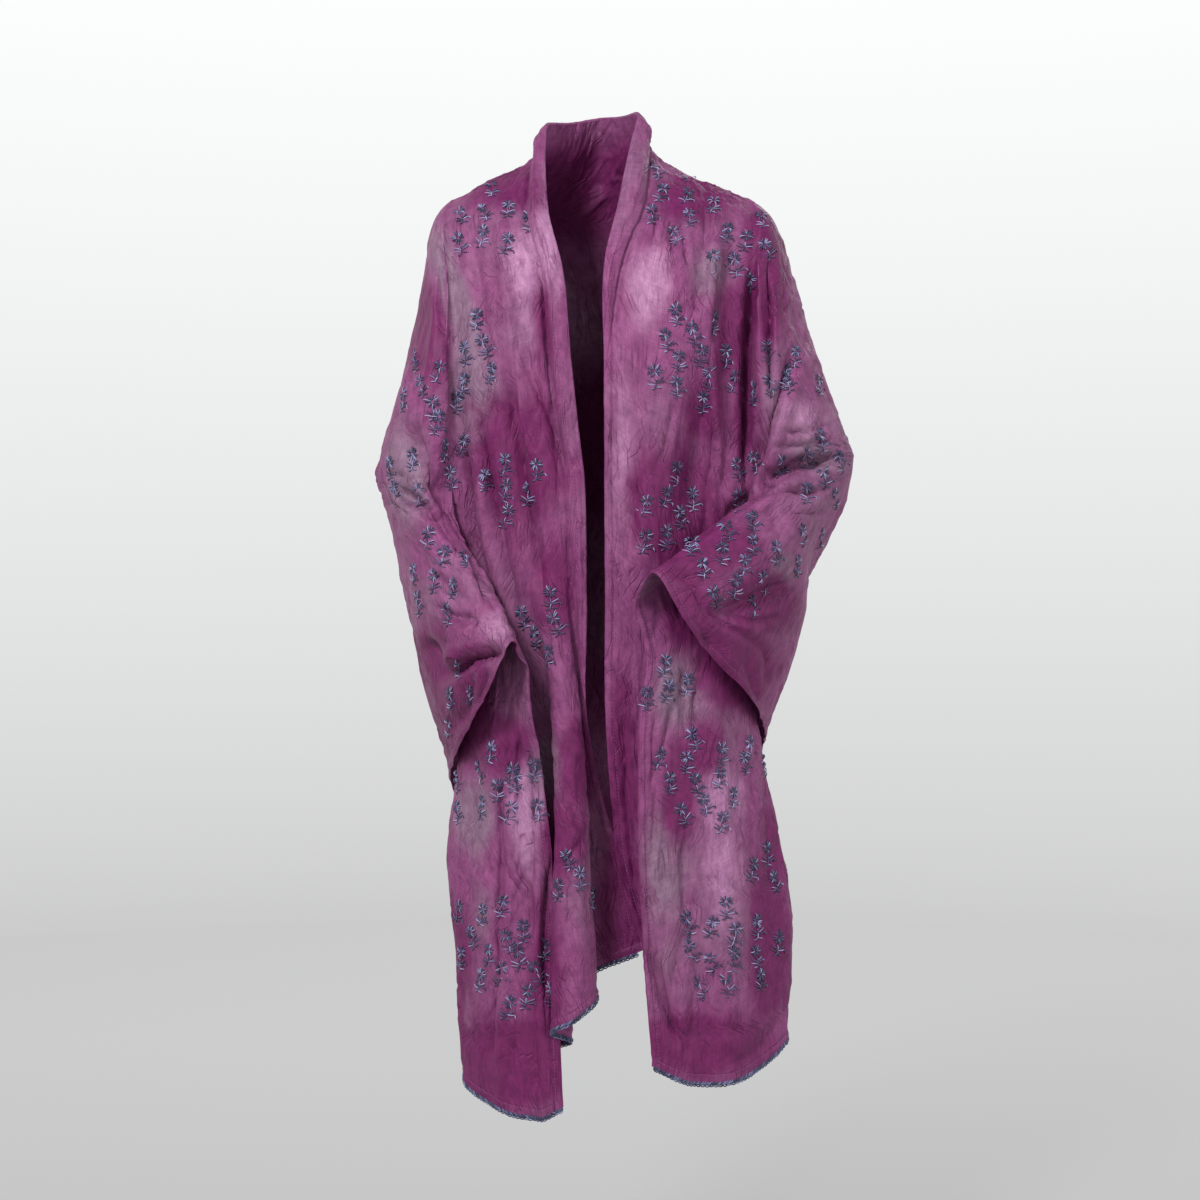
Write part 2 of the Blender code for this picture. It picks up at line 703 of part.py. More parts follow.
def main():
    """Clear the scene and build the shawl."""
    for old in list(bpy.data.objects):
        bpy.data.objects.remove(old)
    collection = bpy.data.collections.new("silk_shawl")
    bpy.context.scene.collection.children.link(collection)
    colours = {"arm_wrap": ROSE_MAUVE, "cuff_wrap": ORCHID, "chest": ORCHID, "fall": PLUM, "drape": PLUM}

    left_tables = (ARM_LEFT, CHEST_LEFT, FALL_LEFT, DRAPE_LEFT)
    right_tables = (ARM_RIGHT, CHEST_RIGHT, FALL_RIGHT, DRAPE_RIGHT)
    left = side_grids(RIDGE_LEFT, left_tables, (ARM_FOLDS_LEFT, CHEST_FOLDS_LEFT), 1)
    right = side_grids(RIDGE_RIGHT, right_tables, (ARM_FOLDS_RIGHT, CHEST_FOLDS_RIGHT), -1)
    ridge_right = [(-x, y, z) for x, y, z in RIDGE_RIGHT]
    back = back_grid((ridge_right, RIDGE_LEFT), (right["arm_wrap"], left["arm_wrap"]))
    back = add_folds(back, BACK_FOLDS, -1, (True, True, True, False))

    lapels = {
        "left": lapel_grid(left["chest"], TURN_WIDTH_LEFT, 1),
        "right": lapel_grid(right["chest"], TURN_WIDTH_RIGHT, -1),
    }
    neck_turn = neck_turn_grid(back)
    part_side_seams(left, back, "last column")
    part_side_seams(right, back, "first column")

    split_row = len(RIDGE_LEFT[1:]) * RIDGE_STEPS + (BACK_SPLIT - len(RIDGE_LEFT)) * UPPER_ARM_STEPS
    upper_back, lower_back = split_stretch(back, split_row)
    cloth_wall(collection, "upper_back", upper_back, MAGENTA)
    cloth_wall(collection, "lower_back", lower_back, MAGENTA)
    cloth_wall(collection, "neck_turn", neck_turn, ORCHID)
    for side, grids in (("left", left), ("right", right)):
        part_waist(grids)
        grids["arm_wrap"], grids["cuff_wrap"] = split_stretch(grids["arm_wrap"], ELBOW * UPPER_ARM_STEPS)
        for name, rows in grids.items():
            cloth_wall(collection, f"{name}_{side}", rows, colours[name])
        cloth_wall(collection, f"lapel_{side}", lapels[side], MAGENTA)
        for name in ("fall", "drape"):
            strip = edging_strip(grids[name][-1], grids[name][-2])
            edging = f"edging_{name}_{side}"
            cloth_wall(collection, edging, strip, SLATE_BLUE, EDGING_WALL, COTTON_ROUGHNESS)


if __name__ == "__main__":
    main()
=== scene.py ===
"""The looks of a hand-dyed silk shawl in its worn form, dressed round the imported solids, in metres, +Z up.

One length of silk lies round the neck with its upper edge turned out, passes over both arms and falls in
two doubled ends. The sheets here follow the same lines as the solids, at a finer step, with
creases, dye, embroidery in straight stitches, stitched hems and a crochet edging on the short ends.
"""

from __future__ import annotations

import logging
import math
import random
from dataclasses import dataclass, field
from enum import Enum
from typing import Any, NamedTuple, Sequence

import bpy
import numpy as np
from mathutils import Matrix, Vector, noise

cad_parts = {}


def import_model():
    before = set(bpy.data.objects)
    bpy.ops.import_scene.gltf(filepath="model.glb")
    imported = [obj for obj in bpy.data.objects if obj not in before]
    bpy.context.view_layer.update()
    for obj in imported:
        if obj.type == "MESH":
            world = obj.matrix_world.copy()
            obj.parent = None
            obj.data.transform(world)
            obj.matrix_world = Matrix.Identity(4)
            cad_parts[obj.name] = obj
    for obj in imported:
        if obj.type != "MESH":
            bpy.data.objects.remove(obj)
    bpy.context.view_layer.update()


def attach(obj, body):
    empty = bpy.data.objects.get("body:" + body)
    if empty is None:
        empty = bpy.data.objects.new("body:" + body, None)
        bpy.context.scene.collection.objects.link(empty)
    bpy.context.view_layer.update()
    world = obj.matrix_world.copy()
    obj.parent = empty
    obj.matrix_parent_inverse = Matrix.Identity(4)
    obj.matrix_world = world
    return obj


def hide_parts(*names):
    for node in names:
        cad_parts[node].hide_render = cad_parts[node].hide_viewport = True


log = logging.getLogger("shawl")

MM = 0.001
BODY = "root"
CAMERA_DISTANCE = 2800.0  # mm from the shawl's origin to the camera
EYE_HEIGHT = -537.5  # mm, the camera's height
SEEN_WIDTH = 1500.0  # mm that the frame takes in at the shawl's origin

# Steps between two named points, along and across the cloth.
RIDGE_STEPS = 21
UPPER_ROWS = 24
LOWER_ROWS = 26
FALL_ROWS = 26
ARM_ACROSS = 15
BACK_ACROSS = 24
FLUTED_ACROSS = 9
ELBOW = 5  # this line of an arm wrap, counted from the point of the shoulder, lies in the crook of the elbow

SHEET_THICKNESS = 1.0  # mm
PRESS = 1.6  # how much deeper the creases are set than drawn
SHARP_ANGLE = math.radians(60)


class Stitch(NamedTuple):
    """One straight stitch: its ends in mm, the outward direction there and the thread's tone."""

    start: np.ndarray
    end: np.ndarray
    out: np.ndarray
    tone: float


class View(Enum):
    """The side that a mark is drawn on."""

    FRONT = "front"
    BACK = "back"


class Tone(Enum):
    """A tone of the dye, by its channel in the dye map."""

    # The DEEP tone is also used for painted shade, in some of the fronts' patches.
    DEEP = 0
    PALE = 1
    GREY = 2


class ArmLine(NamedTuple):
    """One line of the cloth over an arm, from the chest valley round the arm to the back, in mm."""

    inner: tuple
    top: tuple
    face: tuple
    outer: tuple
    back: tuple
    seam: tuple


class FluteLine(NamedTuple):
    """One level of the fluted fall: its height at the front edge and the side, then (x, y) points, in mm."""

    z_edge: float
    z_side: float
    places: tuple


class BackLine(NamedTuple):
    """One line across the back: the depth and height of its middle, and how far its quarters swell, in mm."""

    y: float
    z: float
    swell: float


class Fold(NamedTuple):
    """A soft ridge, or with a negative height a trough: its place and width are shares of the stretch."""

    across: float
    drift: float
    width: float
    height: float
    start: float
    end: float


class Crease(NamedTuple):
    """A soft trough along a line drawn in one view, in mm, with a ridge (roll) on its left side."""

    line: tuple
    width: float
    depth: float
    roll: float = 0.0


# A DEEP dab can stand for painted shade as well as dye.
class Dab(NamedTuple):
    """A soft patch of one tone of dye, placed in one view, in mm and degrees."""

    tone: Tone
    x: float
    z: float
    wide: float
    tall: float
    tilt: float
    strength: float


class Cluster(NamedTuple):
    """A group of embroidered sprigs: its sheet, its place in one view, in mm, their number and its shape."""

    sheet: str
    view: View
    x: float
    z: float
    count: int
    wide: float = 1.0


# The right side's x is given away from the middle, as the left side's is.
RIDGE_LEFT = ((51, -2, 72), (76, -2, 16), (118, 0, -8), (182, 0, -32))
RIDGE_RIGHT = ((66, 4, 58), (80, 0, 20), (128, 0, -5), (182, 0, -34))
ARM_LEFT = (
    ArmLine(
        (190, -58, -78), (199, -54, -71), (209, -36, -66),
        (214, -2, -64), (205, 40, -70), (188, 60, -82),
    ),
    ArmLine(
        (184, -78, -140), (198, -80, -138), (220, -62, -138),
        (240, -8, -138), (218, 58, -142), (186, 80, -150),
    ),
    ArmLine(
        (182, -84, -212), (204, -96, -216), (238, -78, -224),
        (268, -14, -226), (236, 60, -234), (186, 92, -240),
    ),
    ArmLine(
        (184, -74, -300), (212, -100, -305), (258, -84, -312),
        (296, -22, -310), (258, 56, -330), (184, 100, -345),
    ),
    ArmLine(
        (190, -52, -402), (208, -84, -398), (248, -86, -374),
        (314, -30, -358), (276, 48, -410), (182, 106, -465),
    ),
    ArmLine(
        (162, -92, -436), (184, -112, -414), (241, -104, -417),
        (309, -30, -390), (268, 40, -470), (180, 108, -560),
    ),
    ArmLine(
        (112, -112, -475), (139, -142, -447), (196, -140, -490),
        (258, -40, -478), (232, 38, -560), (176, 108, -650),
    ),
    ArmLine(
        (72, -146, -515), (96, -172, -481), (147, -165, -549),
        (249, -45, -548), (222, 40, -650), (170, 108, -745),
    ),
    ArmLine(
        (38, -170, -540), (62, -197, -506), (98, -194, -562),
        (190, -85, -668), (204, 25, -730), (165, 104, -830),
    ),
)
ARM_RIGHT = (
    ArmLine(
        (188, -56, -80), (195, -52, -72), (201, -34, -66),
        (205, 0, -66), (200, 40, -72), (188, 60, -84),
    ),
    ArmLine(
        (180, -76, -140), (192, -78, -138), (207, -62, -138),
        (219, -6, -138), (208, 58, -142), (184, 80, -150),
    ),
    ArmLine(
        (174, -86, -212), (192, -94, -214), (216, -76, -222),
        (238, -10, -224), (220, 62, -232), (184, 92, -240),
    ),
    ArmLine(
        (172, -88, -300), (196, -102, -305), (232, -86, -312),
        (258, -16, -312), (236, 60, -330), (182, 100, -345),
    ),
    ArmLine(
        (180, -75, -400), (205, -98, -405), (240, -82, -408),
        (276, -25, -380), (250, 48, -430), (180, 106, -465),
    ),
    ArmLine(
        (165, -80, -462), (192, -102, -442), (216, -112, -465),
        (259, -35, -426), (238, 42, -500), (178, 108, -560),
    ),
    ArmLine(
        (132, -108, -515), (155, -132, -490), (177, -150, -537),
        (237, -40, -518), (220, 40, -600), (174, 108, -650),
    ),
    ArmLine(
        (102, -140, -575), (124, -164, -543), (152, -178, -602),
        (218, -45, -611), (205, 38, -690), (168, 108, -745),
    ),
    ArmLine(
        (84, -172, -615), (102, -196, -586), (128, -192, -636),
        (170, -85, -717), (187, 20, -765), (160, 104, -845),
    ),
)
# Each line of a chest runs from the front edge out to the arm.
CHEST_LEFT = (
    ((37, -45, 16), (74, -48, -20), (130, -52, -48)),
    ((24, -90, -60), (72, -92, -75), (128, -92, -108)),
    ((8, -112, -132), (66, -118, -140), (124, -112, -175)),
    ((5, -120, -250), (64, -128, -250), (122, -116, -275)),
    ((5, -121, -382), (64, -122, -385), (126, -88, -390)),
)
CHEST_RIGHT = (
    ((68, -42, -2), (92, -48, -25), (140, -52, -52)),
    ((64, -88, -71), (98, -92, -80), (138, -92, -110)),
    ((46, -112, -147), (94, -116, -150), (134, -110, -178)),
    ((37, -120, -250), (84, -126, -255), (128, -116, -278)),
    ((21, -122, -388), (72, -124, -390), (122, -104, -395)),
)
# Each line of a fall runs from the front edge to the side.
FALL_LEFT = (
    ((6, -120, -537), (66, -120, -540), (128, -78, -535), (190, -22, -520)),
    ((6, -118, -657), (68, -116, -660), (134, -74, -655), (192, -14, -650)),
    ((14, -112, -786), (74, -112, -790), (142, -72, -790), (205, -10, -790)),
    ((24, -108, -867), (80, -108, -870), (148, -70, -875), (210, -10, -885)),
    ((52, -105, -956), (98, -104, -975), (152, -68, -1000), (208, -12, -1035)),
)
FALL_RIGHT = (
    FluteLine(
        -537, -530,
        ((18, -118), (34, -116), (42, -120), (56, -124), (72, -120), (88, -108), (122, -84), (172, -30)),
    ),
    FluteLine(
        -657, -655,
        ((17, -104), (30, -98), (26, -118), (42, -134), (60, -124), (58, -102), (112, -78), (168, -16)),
    ),
    FluteLine(
        -772, -800,
        ((-2, -76), (34, -76), (16, -118), (34, -142), (54, -128), (42, -98), (104, -74), (168, -8)),
    ),
    FluteLine(
        -864, -915,
        ((-29, -70), (26, -74), (9, -120), (30, -145), (55, -129), (36, -99), (100, -72), (160, -8)),
    ),
    FluteLine(
        -964, -1100,
        ((-54, -68), (14, -74), (4, -120), (28, -146), (57, -130), (34, -99), (94, -72), (152, -10)),
    ),
)
FLUTE_RISE = 0.8  # how the fluted hem drops from the front edge to the side
# Each line of a drape runs from its free edge to the bend at the side.
DRAPE_LEFT = (
    ((54, -152, -605), (98, -132, -600), (146, -102, -590), (192, -54, -575)),
    ((46, -148, -675), (94, -134, -680), (140, -106, -685), (192, -46, -690)),
    ((45, -146, -798), (97, -134, -810), (150, -110, -820), (218, -46, -830)),
    ((48, -146, -905), (100, -134, -915), (155, -112, -925), (234, -48, -935)),
    ((62, -146, -1090), (110, -132, -1112), (163, -106, -1112), (228, -50, -1075)),
)
DRAPE_RIGHT = (
    ((80, -156, -665), (102, -140, -650), (132, -116, -640), (170, -60, -625)),
    ((70, -136, -735), (94, -132, -735), (128, -112, -735), (172, -44, -735)),
    ((56, -118, -860), (86, -122, -865), (126, -110, -870), (188, -48, -850)),
    ((52, -112, -975), (82, -118, -985), (122, -104, -990), (178, -45, -970)),
    ((44, -112, -1146), (72, -118, -1158), (108, -100, -1152), (168, -42, -1126)),
)
BACK = (
    BackLine(74, 78, 14),
    BackLine(92, 34, 14),
    BackLine(104, -8, 10),
    BackLine(113, -48, 14),
    BackLine(119, -92, 10),
    BackLine(123, -168, 8),
    BackLine(126, -260, 6),
    BackLine(126, -362, 5),
    BackLine(123, -475, 5),
    BackLine(121, -570, 4),
    BackLine(121, -665, 4),
    BackLine(123, -760, 4),
    BackLine(125, -852, 4),
)
TURN_WIDTH_LEFT = (38, 32, 28, 18, 4)  # mm of the lapel at each line of the chest, from the shoulder down
TURN_WIDTH_RIGHT = (38, 26, 25, 25, 24, 20)
TURN_RUN_OUT = (15, 3)  # mm of the right lapel at the first lines of the fall, where it runs out

ARM_FOLDS_LEFT = (
    Fold(0.10, 0.06, 0.05, 7, 0.10, 0.62),
    Fold(0.28, -0.10, 0.06, 6, 0.12, 0.60),
    Fold(0.46, -0.16, 0.05, -6, 0.42, 0.80),
    Fold(0.72, 0.00, 0.07, 5, 0.20, 0.95),
)
ARM_FOLDS_RIGHT = (
    Fold(0.12, 0.05, 0.05, 6, 0.12, 0.60),
    Fold(0.30, -0.08, 0.06, 5, 0.15, 0.66),
    Fold(0.50, -0.18, 0.05, -7, 0.55, 0.95),
    Fold(0.74, 0.00, 0.07, 5, 0.20, 0.95),
)
CHEST_FOLDS_LEFT = (Fold(0.72, 0.02, 0.06, 7, 0.15, 1.0), Fold(0.88, 0.0, 0.05, -6, 0.2, 1.0))
CHEST_FOLDS_RIGHT = (Fold(0.55, -0.12, 0.07, 7, 0.15, 1.0), Fold(0.82, -0.16, 0.06, -7, 0.2, 1.0))
DRAPE_FOLDS = (Fold(0.22, 0.10, 0.07, -5, 0.2, 1.0), Fold(0.48, 0.04, 0.08, 7, 0.15, 1.0))
BACK_FOLDS = (
    Fold(0.15, 0.03, 0.045, 8, 0.30, 1.0),
    Fold(0.27, 0.05, 0.050, -9, 0.30, 1.0),
    Fold(0.39, 0.02, 0.055, 11, 0.33, 1.0),
    Fold(0.53, -0.03, 0.045, -9, 0.40, 1.0),
    Fold(0.63, -0.02, 0.040, 8, 0.33, 1.0),
    Fold(0.75, -0.04, 0.055, -10, 0.28, 1.0),
    Fold(0.86, -0.03, 0.045, 7, 0.35, 1.0),
)

# The width and length in metres that each sheet was cut to.
CUTS = {
    "back": (0.385, 0.97),
    "front_left": (0.215, 1.06),
    "front_right": (0.23, 1.11),
    "arm_left": (0.34, 0.71),
    "arm_right": (0.305, 0.73),
    "drape_left": (0.25, 0.63),
    "drape_right": (0.215, 0.635),
}

# The creases of each group of sheets, drawn in one view.
CREASES: tuple[tuple[tuple[str, ...], View, tuple[Crease, ...]], ...] = (
    (("front_right", "arm_right"), View.FRONT, (
        Crease(((-121, -225), (-115, -288), (-104, -350), (-91, -419), (-80, -488), (-69, -556)), 9, 10, -4),
        Crease(((-99, -212), (-84, -260), (-68, -302), (-50, -344), (-40, -388)), 6, 5),
        Crease(((-152, -288), (-145, -338), (-136, -400), (-124, -469), (-112, -525),
               (-101, -581)), 6, 7, -3),
        Crease(((-172, -325), (-166, -388), (-159, -450), (-146, -512), (-125, -562)), 6, 11, 3),
        Crease(((-74, -100), (-69, -162), (-64, -225), (-60, -288), (-56, -350), (-51, -412),
               (-44, -488)), 4, 3),
        Crease(((-100, -200), (-105, -228), (-110, -262)), 4, 2.5),
        Crease(((-85, -225), (-74, -252), (-64, -270)), 4, 2.5),
        Crease(((-44, -788), (-28, -815), (-12, -840)), 4, 3),
        Crease(((-59, -872), (-38, -858), (-18, -832)), 4, 3),
        Crease(((-55, -956), (-38, -925), (-25, -912)), 4, 2.5),
        Crease(((-50, -1019), (-40, -1008), (-25, -1015)), 3, 3),
        Crease(((4, -812), (15, -875), (28, -938)), 5, 3),
        Crease(((-5, -850), (5, -925), (8, -975)), 5, 3),
        Crease(((-116, -600), (-145, -606), (-170, -616), (-188, -640)), 7, 13, -6),
        Crease(((-218, -582), (-204, -612), (-191, -648)), 8, 9),
        Crease(((-208, -541), (-190, -554), (-165, -562), (-145, -570)), 5, 6),
        Crease(((-269, -398), (-248, -405), (-225, -419), (-200, -439), (-180, -464),
               (-160, -495)), 6, 9, -4),
        Crease(((-242, -306), (-231, -344), (-216, -378), (-195, -412), (-172, -450)), 9, 12, -6),
        Crease(((-202, -94), (-199, -150), (-191, -219), (-184, -281), (-178, -338)), 5, 4),
        Crease(((-274, -375), (-256, -382), (-238, -385)), 4, 3),
        Crease(((-268, -416), (-252, -421), (-238, -434)), 4, 3),
        Crease(((-250, -450), (-225, -488), (-188, -525), (-150, -550)), 10, 4),
        Crease(((-162, -619), (-165, -650), (-172, -681), (-188, -706)), 7, 6),
        Crease(((-140, -622), (-148, -650), (-158, -678)), 6, 5),
        Crease(((-219, -162), (-231, -212), (-240, -262)), 12, 3),
    )),
    (("drape_cloth_right",), View.FRONT, (
        Crease(((-124, -719), (-124, -788), (-124, -850), (-125, -912), (-129, -975),
               (-128, -1038)), 5, 5, 3),
        Crease(((-116, -706), (-115, -750), (-111, -800)), 4, 4),
        Crease(((-100, -706), (-104, -750), (-102, -806)), 4, 4),
        Crease(((-89, -719), (-88, -775), (-86, -825)), 4, 4),
        Crease(((-75, -725), (-84, -788), (-86, -862), (-90, -912)), 5, 4, 2),
        Crease(((-61, -850), (-66, -912), (-69, -975), (-68, -1050)), 5, 7, -2),
        Crease(((-162, -825), (-148, -850), (-132, -894)), 4, 3),
        Crease(((-180, -862), (-165, -894), (-152, -931)), 4, 3),
        Crease(((-98, -875), (-88, -912), (-85, -962)), 4, 3),
        Crease(((-126, -969), (-132, -1019), (-138, -1075), (-139, -1125)), 5, 6, 2),
        Crease(((-106, -1075), (-110, -1112), (-115, -1144)), 4, 3),
        Crease(((-84, -1062), (-80, -1112), (-82, -1162)), 6, 3),
        Crease(((-155, -719), (-158, -775), (-165, -838)), 5, 4),
    )),
    (("front_left", "arm_left"), View.FRONT, (
        Crease(((190, -100), (188, -162), (185, -225), (184, -288), (182, -350), (181, -409)), 5, 15, 4),
        Crease(((152, -162), (140, -238), (129, -312), (121, -388), (112, -469)), 20, 8, -5),
        Crease(((59, -385), (70, -372), (79, -348), (89, -306), (100, -275)), 3.5, 3),
        Crease(((170, -85), (159, -128), (151, -169), (148, -225)), 7, 6),
        Crease(((70, -44), (68, -75), (62, -106)), 3, 3),
        Crease(((85, -48), (89, -78), (88, -115)), 3, 3),
        Crease(((102, -52), (105, -88), (112, -131)), 4, 3),
        Crease(((132, -31), (130, -88), (125, -144), (112, -200)), 6, 5, 2),
        Crease(((131, -275), (125, -338), (116, -406)), 4, 3),
        Crease(((145, -288), (142, -362), (135, -438), (122, -481)), 5, 4),
        Crease(((162, -200), (160, -288), (158, -375), (145, -438)), 5, 4),
        Crease(((50, -200), (41, -250), (48, -312)), 6, 2.5),
        Crease(((62, -312), (50, -362), (45, -438), (50, -488)), 6, 3.5),
        Crease(((31, -375), (38, -425), (28, -488)), 6, 3),
        Crease(((8, -288), (15, -325), (11, -362), (16, -412)), 3, 2.5),
        Crease(((32, -662), (31, -738), (35, -812), (42, -888), (51, -944)), 5, 4),
        Crease(((15, -775), (25, -850), (38, -919)), 4, 3),
        Crease(((214, -88), (212, -150), (211, -225), (210, -306)), 4, 8, 2),
        Crease(((250, -206), (240, -235), (228, -275), (211, -319), (199, -360), (191, -402)), 6, 8, 5),
        Crease(((308, -356), (278, -361), (246, -369), (221, -381), (198, -395)), 7, 16, 5),
        Crease(((300, -395), (269, -402), (238, -402), (212, -399), (188, -409), (165, -425),
               (144, -446)), 5, 7),
        Crease(((234, -412), (244, -426), (265, -431), (288, -430)), 4, 4),
        Crease(((206, -412), (219, -438), (231, -469)), 6, 4),
        Crease(((181, -438), (206, -469), (219, -506)), 6, 3.5),
        Crease(((131, -552), (169, -549), (208, -532), (248, -509)), 12, 11, -4),
        Crease(((80, -495), (102, -506), (122, -525), (131, -552)), 6, 5),
        Crease(((125, -540), (152, -565), (185, -584), (206, -600)), 5, 4.5),
        Crease(((152, -552), (190, -565), (231, -552)), 5, 4),
        Crease(((196, -588), (210, -612), (206, -650)), 4, 3.5),
        Crease(((128, -569), (145, -606), (175, -648)), 7, 5),
        Crease(((181, -606), (194, -650), (202, -675)), 4, 3),
        Crease(((238, -162), (250, -200), (265, -238)), 8, 4),
        Crease(((219, -325), (250, -328), (288, -319)), 5, 3.5),
        Crease(((212, -345), (250, -345), (294, -338)), 4, 3.5),
    )),
    (("drape_cloth_left",), View.FRONT, (
        Crease(((58, -962), (70, -1000), (85, -1044), (100, -1100)), 6, 6, 3),
        Crease(((105, -612), (102, -662), (112, -719)), 5, 5),
        Crease(((121, -638), (118, -688), (121, -725)), 4, 4),
        Crease(((94, -650), (82, -712), (65, -775)), 5, 4),
        Crease(((85, -788), (80, -850), (85, -912)), 6, 3.5),
        Crease(((110, -825), (105, -888), (112, -950)), 6, 3.5),
        Crease(((131, -788), (132, -838), (150, -894), (169, -919)), 5, 3.5, 2),
        Crease(((152, -850), (162, -888), (181, -912)), 4, 3),
        Crease(((112, -938), (98, -988), (88, -1038)), 6, 3.5),
        Crease(((69, -1019), (90, -1062), (118, -1115)), 5, 4.5),
        Crease(((125, -962), (122, -1012), (131, -1062)), 6, 3),
        Crease(((131, -1076), (156, -1078), (181, -1071)), 3, 2.5),
        Crease(((156, -1120), (194, -1102), (225, -1060)), 6, 3.5),
        Crease(((69, -662), (65, -738), (69, -812), (62, -888)), 5, 3.5),
        Crease(((206, -738), (210, -825), (215, -912)), 7, 3.5),
    )),
    (("back", "arm_left", "arm_right"), View.BACK, (
        Crease(((60, 40), (70, -60), (60, -180)), 8, 5, 2),
        Crease(((-60, 40), (-75, -70), (-55, -200)), 8, 5, -2),
        Crease(((140, -60), (120, -180), (130, -320)), 9, 6, 3),
        Crease(((-140, -60), (-125, -170), (-135, -330)), 9, 6, -3),
        Crease(((20, -120), (10, -260), (25, -420)), 7, 4),
        Crease(((-95, -420), (-100, -560), (-80, -700), (-85, -840)), 8, 6, 2),
        Crease(((95, -380), (85, -540), (100, -700), (92, -850)), 8, 6),
        Crease(((35, -500), (45, -640), (35, -840)), 6, 5),
        Crease(((-35, -460), (-30, -600), (-45, -845)), 7, 5, 2),
        Crease(((150, -450), (145, -600), (150, -840)), 6, 5),
        Crease(((-150, -470), (-140, -640), (-150, -840)), 6, 5),
        Crease(((30, 30), (0, -20), (-40, -50)), 6, 3),
        Crease(((160, -380), (110, -430), (60, -440)), 7, 4),
        Crease(((-160, -390), (-110, -440), (-50, -450)), 7, 4),
        Crease(((300, -380), (270, -430), (230, -500), (200, -600)), 9, 8, 3),
        Crease(((250, -250), (240, -350), (215, -450)), 8, 5),
        Crease(((225, -560), (205, -660), (190, -760)), 7, 5),
        Crease(((-265, -390), (-250, -450), (-215, -540), (-190, -640)), 9, 8, -3),
        Crease(((-225, -240), (-220, -340), (-200, -440)), 8, 5),
        Crease(((-210, -560), (-195, -660), (-182, -760)), 7, 5),
    )),
)

